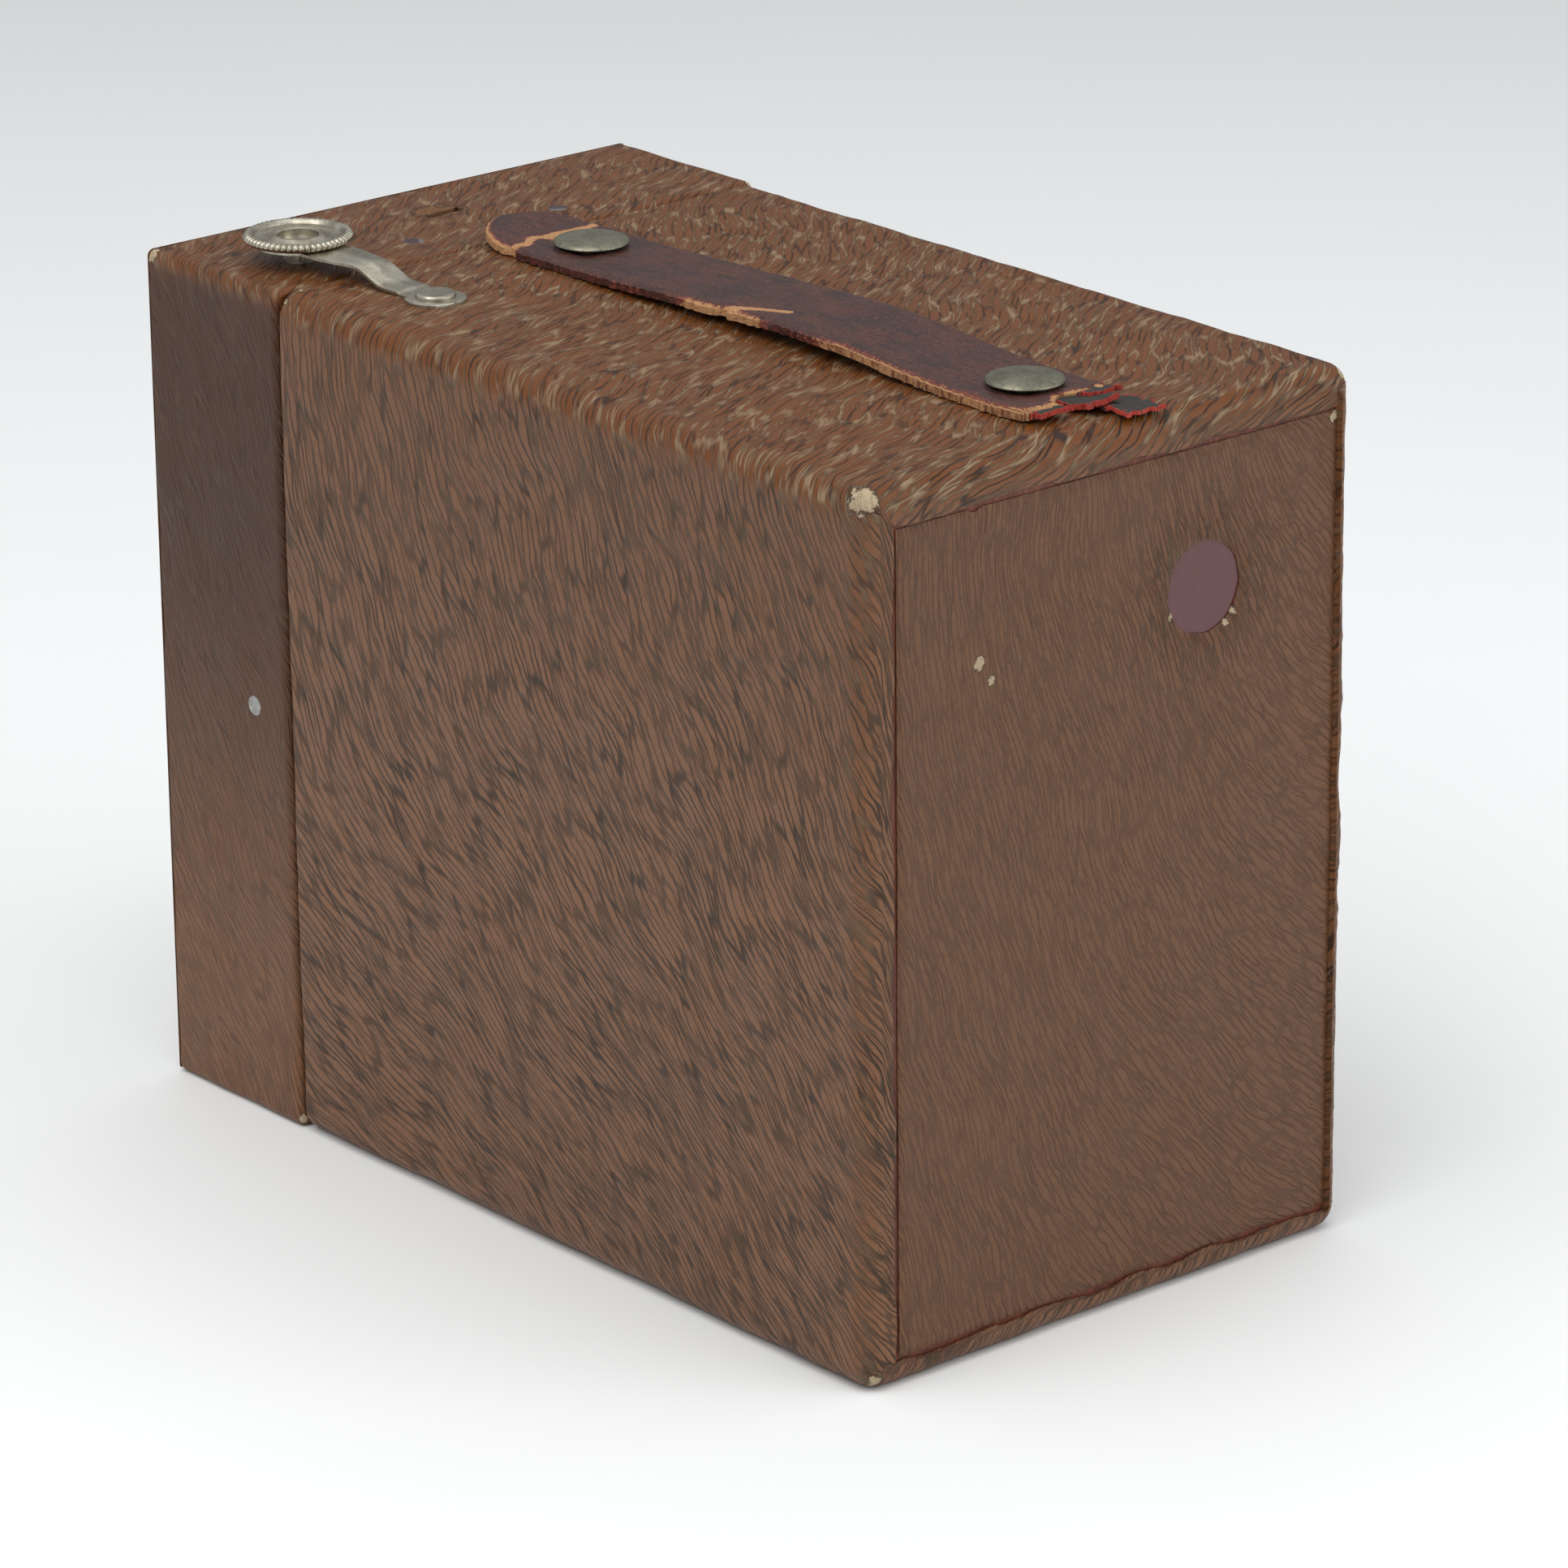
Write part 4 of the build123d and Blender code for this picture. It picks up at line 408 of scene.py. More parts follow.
    height = g.math("MULTIPLY", groove, -1.0)
    height = g.math("ADD", height, g.math("MULTIPLY", pebble, 0.16))
    height = g.math("ADD", height, g.math("MULTIPLY", torn, g.math("MULTIPLY", fibre, 2.2)))
    g.bump(height, 0.34 * MM, 0.9)
    rough = g.math("ADD", g.math("MULTIPLY", gloss, -0.12), g.ramp(patch, 0.3, 0.7, 0.42, 0.50))
    rough = g.math("ADD", rough, g.math("MULTIPLY", groove, 0.12))
    rough = g.math("ADD", rough, g.math("MULTIPLY", torn, 0.4))
    return g.finish(colour, rough, Specular_IOR_Level=0.38)


def strap_leather():
    """Smooth maroon strap leather, worn to tan fibre where the wear attribute is high."""
    g = Graph("strap_leather_worn")
    place = g.place()
    split = g.add("ShaderNodeSeparateXYZ", sockets={0: g.attribute("finish")}).node
    wear, weave = split.outputs[0], split.outputs[1]
    patch = g.noise(place, 0.09, 4.0, 0.6)
    pores = g.add("ShaderNodeTexVoronoi", feature="DISTANCE_TO_EDGE",
                  sockets={"Vector": place, "Scale": 1.15})
    pores = g.ramp(pores, 0.0, 0.10, 1.0, 0.0)
    long_mark = g.noise(g.scale(place, 1.0, 0.12, 1.0), 0.9, 3.0)
    base = g.mix(g.ramp(patch, 0.3, 0.7), rgb(52, 22, 16), rgb(84, 42, 30))
    base = g.mix(g.ramp(long_mark, 0.45, 0.7, 0.0, 0.7), base, rgb(30, 12, 9))
    base = g.mix(g.ramp(g.noise(place, 0.8, 4.0, 0.7), 0.5, 0.72, 0.0, 0.6), base, rgb(118, 66, 48))
    base = g.mix(g.math("MULTIPLY", pores, 0.4), base, rgb(36, 16, 14))
    tatter = g.math("SUBTRACT", g.noise(place, 1.5, 4.0, 0.75), 0.5)
    ragged = g.math("ADD", wear, tatter)
    worn = g.ramp(ragged, 0.44, 0.56)
    red_rim = g.math("MULTIPLY", g.ramp(ragged, 0.34, 0.45), g.ramp(ragged, 0.45, 0.56, 1.0, 0.0))
    threads = g.add("ShaderNodeTexWave", sockets={
        "Vector": place, "Scale": 0.55, "Distortion": 2.5, "Detail": 3.0})
    fibre = g.noise(g.scale(place, 2.6, 0.9, 1.0), 1.6, 4.0, 0.7)
    tan = g.mix(fibre, rgb(126, 74, 44), rgb(222, 172, 118))
    tan = g.mix(g.math("MULTIPLY", weave, threads), tan, rgb(112, 64, 40))
    colour = g.mix(g.math("MULTIPLY", red_rim, 0.7), base, rgb(150, 52, 42))
    colour = g.mix(worn, colour, tan)
    height = g.math("MULTIPLY", pores, -0.25)
    height = g.math("ADD", height, g.math("MULTIPLY", long_mark, 0.6))
    height = g.math("ADD", height, g.math("MULTIPLY", worn, g.math("ADD", fibre, -0.8)))
    g.bump(height, 0.30 * MM, 0.8)
    rough = g.math("ADD", g.ramp(patch, 0.3, 0.7, 0.34, 0.46), g.math("MULTIPLY", worn, 0.4))
    return g.finish(colour, rough)


def torn_layers():
    """The strap's torn end: black fibrous core with red lining along its edges."""
    g = Graph("strap_torn_core")
    place = g.place()
    rim = g.attribute("rim", output=2)
    fibre = g.noise(g.scale(place, 3.2, 0.7, 2.0), 1.3, 5.0, 0.75)
    black = g.mix(fibre, rgb(16, 15, 14), rgb(82, 78, 72))
    red = g.mix(fibre, rgb(150, 38, 34), rgb(226, 84, 66))
    edge = g.ramp(g.math("ADD", rim, g.math("MULTIPLY", g.math("SUBTRACT", fibre, 0.5), 0.9)), 0.82, 0.95)
    g.bump(fibre, 0.5 * MM, 1.0)
    return g.finish(g.mix(edge, black, red), 0.8)


def metal(name, clean, dirty, roughness, speckle=0.35, brushed=0.0):
    """Metal with a patina: tarnish in patches and specks, and fine scratches."""
    g = Graph(name)
    place = g.place()
    patch = g.noise(place, 0.22, 5.0, 0.65)
    specks = g.noise(place, 1.5, 4.0, 0.7)
    scratch = g.noise(g.scale(place, 6.0, 0.35, 3.0), 0.9, 3.0, 0.6)
    amount = g.math("ADD", g.ramp(patch, 0.35, 0.72), g.ramp(specks, 0.52, 0.62, 0.0, speckle))
    amount = g.math("MULTIPLY", g.math("MINIMUM", amount, 1.0), 0.7)
    colour = g.mix(amount, clean, dirty)
    rough = g.math("ADD", roughness, g.math("MULTIPLY", amount, 0.18))
    rough = g.math("ADD", rough, g.ramp(scratch, 0.45, 0.65, 0.0, 0.08 + brushed))
    height = g.math("ADD", g.math("MULTIPLY", scratch, 0.35), g.math("MULTIPLY", specks, 0.45))
    g.bump(height, 0.05 * MM, 0.5)
    return g.finish(colour, rough, Metallic=1.0)


def wood(name, light, dark, axis):
    """Planed wood with long fibres along one axis (0, 1 or 2)."""
    g = Graph(name)
    stretch = [0.55, 0.55, 0.55]
    stretch[axis] = 0.03
    place = g.scale(g.place(), *stretch)
    bands = g.noise(place, 0.6, 4.0, 0.6, distortion=1.2)
    fibres = g.noise(place, 5.0, 3.0, 0.7)
    pores = g.ramp(g.noise(place, 9.0, 1.0), 0.56, 0.66)
    colour = g.mix(g.ramp(bands, 0.3, 0.7), light, dark)
    colour = g.mix(g.ramp(fibres, 0.4, 0.75, 0.0, 0.5), colour, dark)
    colour = g.mix(g.math("MULTIPLY", pores, 0.6), colour, rgb(40, 18, 10))
    g.bump(g.math("SUBTRACT", fibres, pores), 0.10 * MM, 0.6)
    return g.finish(colour, g.ramp(fibres, 0.3, 0.7, 0.42, 0.6))


def painted(name, colour, worn, roughness, specular=0.5):
    """Thin paint or paper with rubbed patches and a slight tooth."""
    g = Graph(name)
    place = g.place()
    patch = g.noise(place, 0.15, 5.0, 0.65)
    tooth = g.noise(place, 2.0, 3.0, 0.6)
    shown = g.mix(g.ramp(patch, 0.45, 0.75, 0.0, 0.55), colour, worn)
    shown = g.mix(g.ramp(tooth, 0.4, 0.7, 0.0, 0.25), shown, worn)
    g.bump(tooth, 0.06 * MM, 0.6)
    return g.finish(shown, g.ramp(patch, 0.3, 0.7, roughness, roughness + 0.12),
                    Specular_IOR_Level=specular)


def red_celluloid():
    """The red window: dusty, slightly scratched celluloid."""
    g = Graph("red_celluloid_dusty")
    place = g.place()
    dust = g.noise(place, 0.5, 5.0, 0.7)
    scratch = g.noise(g.scale(place, 0.5, 1.0, 5.0), 0.8, 2.0)
    colour = g.mix(g.ramp(dust, 0.4, 0.8, 0.1, 0.5), rgb(82, 36, 36), rgb(104, 60, 60))
    g.bump(g.math("ADD", g.math("MULTIPLY", dust, 0.5), g.math("MULTIPLY", scratch, 0.2)), 0.05 * MM, 0.4)
    return g.finish(colour, g.ramp(dust, 0.3, 0.8, 0.30, 0.46), Coat_Weight=0.25, Coat_Roughness=0.2)


def glass(name, tint, roughness, clear):
    """Optical or ground glass with faint dust."""
    g = Graph(name)
    place = g.place()
    dust = g.noise(place, 1.2, 5.0, 0.7)
    colour = g.mix(g.ramp(dust, 0.5, 0.85, 0.0, 0.3), tint, rgb(214, 212, 204))
    g.bump(dust, 0.02 * MM, 0.3)
    return g.finish(colour, g.ramp(dust, 0.4, 0.8, roughness, roughness + 0.1),
                    Transmission_Weight=clear, IOR=1.5)


LEATHER = leather("leather_grained")
PLAIN_LEATHER = leather("leather_front_face", with_grain=False)
STRAP = strap_leather()
TORN = torn_layers()
NICKEL = metal("nickel_tarnished", rgb(196, 190, 174), rgb(120, 110, 92), 0.26)
DULL_NICKEL = metal("nickel_dull", rgb(150, 146, 128), rgb(92, 92, 78), 0.40, speckle=0.6)
STEEL = metal("steel_plain", rgb(176, 176, 174), rgb(110, 100, 92), 0.30, brushed=0.1)
BRASS = metal("brass_aged", rgb(200, 160, 88), rgb(120, 88, 48), 0.28)
MAHOGANY = wood("mahogany_board", rgb(126, 62, 38), rgb(82, 36, 22), 1)
MAHOGANY_UP = wood("mahogany_board_upright", rgb(126, 62, 38), rgb(82, 36, 22), 2)
SPOOL_WOOD = wood("spool_wood_turned", rgb(176, 128, 82), rgb(120, 78, 46), 0)
BLACK = painted("blackened_metal_rubbed", rgb(20, 20, 21), rgb(62, 58, 52), 0.42)
PAPER = painted("film_paper_red", rgb(122, 40, 34), rgb(150, 74, 60), 0.62, 0.3)
RED = red_celluloid()
CLEAR = glass("optical_glass_dusty", rgb(236, 240, 236), 0.03, 0.95)
GROUND = glass("ground_glass_fine", rgb(206, 210, 204), 0.55, 0.45)
SILVER = metal("mirror_silvered", rgb(224, 226, 226), rgb(170, 164, 150), 0.06, speckle=0.1)

SLOT_MATERIALS = {
    "board": MAHOGANY, "case_leather": PLAIN_LEATHER, "back_leather": PLAIN_LEATHER,
    "front_leather": PLAIN_LEATHER, "red_celluloid": RED, "nickel": NICKEL,
    "dull_nickel": DULL_NICKEL, "strap_leather": PLAIN_LEATHER, "blackened_metal": BLACK,
    "brass": BRASS, "steel": STEEL, "spool_wood": SPOOL_WOOD, "film_paper": PAPER,
    "optical_glass": CLEAR, "ground_glass": GROUND, "mirror": SILVER,
}
for node in frame["nodes"].values():
    for place in node.material_slots:
        slot_name = place.name.split(".")[0]
        place.material = SLOT_MATERIALS[slot_name]
for name in ("lens_board", "front_board", "case_back_board"):
    frame["nodes"][name].material_slots[0].material = MAHOGANY_UP


# ------------------------------------------------------------------ skins of the two boxes
def ring(inset, radius, left, right, low, high):
    """A closed rounded rectangle in X and Z, from the near base corner up and round."""
    left, right, low, high = left + inset, right - inset, low + inset, high - inset
    r = max(radius - inset, 0.4)
    rise = int(round((TOP_Z - 2 * CASE_EDGE) / SKIN_STEP))
    run = int(round((2 * SIDE_X - 2 * CASE_EDGE) / SKIN_STEP))
    points = []
    corners = ((right - r, low + r, -90, rise), (right - r, high - r, 0, run),
               (left + r, high - r, 90, rise), (left + r, low + r, 180, run))
    for number, (x, z, start, steps) in enumerate(corners):
        for k in range(ARC_STEPS + 1):
            turn = math.radians(start + 90 * k / ARC_STEPS)
            points.append((x + r * math.cos(turn), z + r * math.sin(turn)))
        next_x, next_z, next_start, _ = corners[(number + 1) % 4]
        turn = math.radians(next_start)
        goal = np.array((next_x + r * math.cos(turn), next_z + r * math.sin(turn)))
        begin = np.array(points[-1])
        last = steps if number < 3 else steps + 1
        for k in range(1, last):
            points.append(tuple(begin + (goal - begin) * k / steps))
    return np.array(points)


def profile_arc(centre_y, centre_inset, r, start, end, steps=5):
    """Points (y, inset) of an arc; 0 degrees points to +Y and 90 to the outside."""
    turns = np.radians(np.linspace(start, end, steps + 1))
    return [(centre_y + r * math.cos(t), centre_inset - r * math.sin(t)) for t in turns]


def box_skin(profile, radius, left, right, low, high):
    """Points of a skin round a box, (rows along Y, columns round the girth, 3)."""
    rings = []
    for y, inset in profile:
        flat = ring(inset, radius, left, right, low, high)
        rings.append(np.stack([flat[:, 0], np.full(len(flat), y), flat[:, 1]], 1))
    return np.array(rings)


def flat_coordinates(points, row):
    """Distances round the girth and along the profile, as if the skin were laid flat."""
    girth = np.linalg.norm(np.diff(points[row], axis=0), axis=1)
    girth = np.concatenate([[0], np.cumsum(girth)])
    column = points.shape[1] // 4
    depth = np.linalg.norm(np.diff(points[:, column], axis=0), axis=1)
    depth = np.concatenate([[0], np.cumsum(depth)])
    depth += points[row, column, 1] - depth[row]
    return np.meshgrid(girth, depth)


def near_spots(points, spots):
    """How torn each point is: 1 in the middle of a spot (x, y, z, radius), 0 at twice its radius."""
    worst = np.zeros(points.shape[:2])
    for x, y, z, radius in spots:
        distance = np.linalg.norm(points - np.array((x, y, z)), axis=2)
        worst = np.maximum(worst, np.clip(1.0 - 0.5 * distance / radius, 0, 1))
    return worst


def side_s(z):
    """Distance round the girth of a point on the near side."""
    return z - CASE_EDGE + CASE_EDGE * math.pi / 2


def top_s(x):
    """Distance round the girth of a point on the top."""
    return side_s(TOP_Z - CASE_EDGE) + CASE_EDGE * math.pi / 2 + SIDE_X - CASE_EDGE - x


# ---------------------------------------- the case's leather, turned over at both ends
def case_profile():
    front = CASE_LOW[1]
    back = CASE_HIGH[1]
    line = [(front + 0.1, 5.2), (front, 4.0), (front, 2.6)]
    line += profile_arc(front + SEAM_EDGE, SEAM_EDGE, SEAM_EDGE, 180, 90, 4)
    start, end = front + SEAM_EDGE, back - REAR_EDGE
    steps = int(round((end - start) / SKIN_STEP))
    line += [(start + (end - start) * k / steps, 0.0) for k in range(1, steps)]
    line += profile_arc(end, REAR_EDGE, REAR_EDGE, 90, 0, 6)
    return line


def case_skin():
    profile = case_profile()
    tube = box_skin(profile, CASE_EDGE, -SIDE_X, SIDE_X, 0.0, TOP_Z)
    border = ring(0.0, 0.6, PANEL_LOW[0], PANEL_HIGH[0], PANEL_LOW[2], PANEL_HIGH[2])
    last = tube[-1]
    goal = np.stack([border[:, 0], np.full(len(border), CASE_HIGH[1]), border[:, 1]], 1)
    middle = goal.mean(axis=0)
    outward = goal - middle
    outward /= np.linalg.norm(outward, axis=1, keepdims=True)
    number = np.arange(len(goal))
    fray = 0.42 * waves(number, number * 0, 9.0, 11) + 0.25 * waves(number, number * 0, 3.1, 12)
    goal = goal + outward * (0.75 + np.clip(fray, -0.5, 0.9))[:, None]
    extra = []
    for share in (0.25, 0.5, 0.75, 0.93, 1.0):
        row = last + (goal - last) * share
        row[:, 1] -= 0.45 * max(share - 0.9, 0) / 0.1
        extra.append(row)
    points = np.concatenate([tube, np.array(extra)])
    normal = grid_normals(points)
    girth, depth = flat_coordinates(points, len(profile) // 2)
    places = []
    for z, degrees in ((168, (80, 78, 76, 74)), (115, (58, 62, 66, 80)),
                       (65, (28, 40, 48, 78)), (25, (6, 12, 14, 60)), (4, (10, 20, 30, 45))):
        for y, angle in zip((-60, -5, 60, 106), degrees):
            places.append((side_s(z), y, angle))
    for x, degrees in ((52, (74, 72, 70, 58)), (28, (70, 68, 66, 55)), (-8, (55, 60, 56, 52)),
                       (-34, (44, 50, 40, 50)), (-56, (48, 42, 46, 52))):
        for y, angle in zip((-60, -5, 60, 106), degrees):
            places.append((top_s(x), y, angle))
    far = top_s(-SIDE_X) + CASE_EDGE
    for z, angle in ((160, 55), (90, 40), (20, 20)):
        for y in (-50, 20, 90):
            places.append((far + TOP_Z - z, y, angle))
    grain = grain_coordinates(girth, depth, places)
    swell = 0.10 * waves(grain[..., 0] * 0.5, grain[..., 1], 17.0, 3)
    swell += 0.05 * waves(grain[..., 0] * 0.35, grain[..., 1], 6.0, 4)
    points = points + normal * np.minimum(swell, 0.12)[..., None]
    points[..., 2] = np.maximum(points[..., 2], 0.0)
    top = smooth(points[..., 2], TOP_Z - 7.5, TOP_Z - 2.0)
    rear = smooth(points[..., 1], 101.0, 106.0) * smooth(normal[..., 1], 1.0, 0.75)
    edge = smooth(np.abs(normal[..., 0]), 0.2, 0.6) * smooth(normal[..., 2], 0.2, 0.6)
    # painted light: 1 gives the top's orange and a painted highlight on the rounded rear edge, somewhat
    # more orange high on the sides; 0 gives the grey painted floor reflection
    painted_light_mix = np.clip(top + 0.3 * rear + 0.2 * smooth(points[..., 2], 90, 170), 0, 1)
    rear_top = top * smooth(points[..., 1], 99.0, 105.0)
    on_side = smooth(np.abs(points[..., 0]), SIDE_X - 3, SIDE_X - 0.5)
    shade = 1.0 - 0.12 * smooth(points[..., 2], 60, 170) * on_side * (1 - top)
    groove_depth = 1.05 + 0.05 * top + 0.4 * rear_top
    tone = np.stack([shade, groove_depth, np.zeros(shade.shape)], 2)
    spots = ((SIDE_X - 1.5, 106.0, TOP_Z - 1.5, 3.0), (SIDE_X - 2, 107.5, 1.5, 2.2),
             (-SIDE_X + 1.5, 107.0, TOP_Z - 1.5, 1.8), (SIDE_X - 1, -64, TOP_Z - 1.5, 1.2),
             (SIDE_X - 5, -64.2, TOP_Z - 0.2, 1.1), (-SIDE_X + 2, -64, TOP_Z - 1, 1.6),
             (-SIDE_X + 1, 107.0, 1.5, 1.5), (SIDE_X, 62.0, 118.0, 0.6))
    tear = near_spots(points, spots)
    finish = np.stack([painted_light_mix, tear, np.clip(edge + rear, 0, 1)], 2)
    skin = sheet("case_skin", points, points - normal * SKIN, "case", "case_leather", LEATHER,
                 grain=grain, finish=finish, tone=tone)
    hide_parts("case_leather", "case_base_leather")


# ---------------------------------------- the panel on the back, puckered round the window
def back_panel():
    x = np.arange(PANEL_LOW[0], PANEL_HIGH[0] + 0.5, PANEL_STEP)
    z = np.arange(PANEL_LOW[2], PANEL_HIGH[2] + 0.5, PANEL_STEP)
    z, x = np.meshgrid(z, x, indexing="ij")

    def inside(px, pz):
        hole = np.hypot(px - WINDOW[0], pz - WINDOW[1]) - WINDOW_R
        hole = hole + 0.10 * waves(px, pz, 5.0, 21)
        edge = np.minimum(np.minimum(px - PANEL_LOW[0], PANEL_HIGH[0] - px),
                          np.minimum(pz - PANEL_LOW[2], PANEL_HIGH[2] - pz))
        edge = edge - 0.1 + 0.22 * waves(px, pz, 6.5, 22)
        return np.minimum(hole, edge)

    x, z, keep = trim(x, z, inside)
    places = [(52, 150, 4), (52, 90, 2), (52, 20, 10), (20, 160, -14), (20, 100, 4), (20, 40, 14),
              (-12, 165, 8), (-15, 90, 30), (-12, 30, 34), (-52, 160, 62), (-52, 110, 70),
              (-52, 60, 64), (-52, 15, 52)]
    for turn in range(0, 360, 60):
        angle = math.radians(turn)
        places.append((WINDOW[0] + 15 * math.cos(angle), WINDOW[1] + 15 * math.sin(angle),
                       math.degrees(math.atan2(abs(math.cos(angle)), 1.0)) * 0.9))
    grain = grain_coordinates(z, x, [(b, a, c + 90) for a, b, c in places], reach=16.0)
    reach = np.hypot(x - WINDOW[0], z - WINDOW[1])
    turn = np.arctan2(z - WINDOW[1], x - WINDOW[0])
    pucker = 0.16 * np.exp(-((reach - 12.5) / 2.5) ** 2) - 0.55 * np.exp(-((reach - 9.0) / 1.1) ** 2)
    pucker += 0.10 * np.sin(turn * 17 + waves(x, z, 9.0, 23)) * np.exp(-((reach - 13) / 4.0) ** 2)
    rim = np.minimum(np.minimum(x - PANEL_LOW[0], PANEL_HIGH[0] - x),
                     np.minimum(z - PANEL_LOW[2], PANEL_HIGH[2] - z))
    y = PANEL_HIGH[1] - 0.05 + np.minimum(pucker, 0.2) - 0.5 * (1 - smooth(rim, 0.0, 1.6))
    y += np.minimum(0.06 * waves(grain[..., 0] * 0.4, grain[..., 1], 12.0, 24), 0.1)
    points = np.stack([x, y, z], 2)
    base = points.copy()
    base[..., 1] = PANEL_LOW[1]
    spots = ((33.0, PANEL_HIGH[1], 137.0, 1.3), (30.0, PANEL_HIGH[1], 133.0, 0.9),
             (PANEL_LOW[0] + 1, PANEL_HIGH[1], PANEL_HIGH[2] - 1, 1.4),
             (WINDOW[0] - 7.5, PANEL_HIGH[1], WINDOW[1] - 6.0, 1.0),
             (WINDOW[0] - 5.5, PANEL_HIGH[1], WINDOW[1] - 8.2, 0.9),
             (WINDOW[0] + 8.6, PANEL_HIGH[1], WINDOW[1] - 4.0, 0.8))
    tear = near_spots(points, spots)
    # painted light mix: mostly the grey painted floor reflection, with more orange in a ring round the
    # window
    painted_light_mix = 0.08 + 0.3 * np.exp(-((reach - 11) / 4) ** 2)
    finish = np.stack([painted_light_mix, tear, np.zeros(x.shape)], 2)
    near_window = np.exp(-((reach - 12) / 5) ** 2)
    tone = np.stack([np.full(x.shape, 0.74), 0.5 + 0.4 * near_window, np.zeros(x.shape)], 2)
    panel = sheet("back_panel", points, base, "case", "back_leather", LEATHER, keep=keep,
                  grain=grain * 1.25, finish=finish, tone=tone)
    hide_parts("back_leather")


# ---------------------------------------- the front section's leather
STOP_SLOT_Y = -89.0     # the torn slot that the stop slide's tab comes up through
WORN_SPOT = (1.0, -91.0)
LEVER_SLOT_Y = -85.1
LEVER_SLOT_LOW = 84.0
LEVER_SLOT_HIGH = 106.0
SCREW_X = 18.3          # the screws into the lens board's edges
SCREW_Y = -76.5
SCREW_MARK_R = 2.1


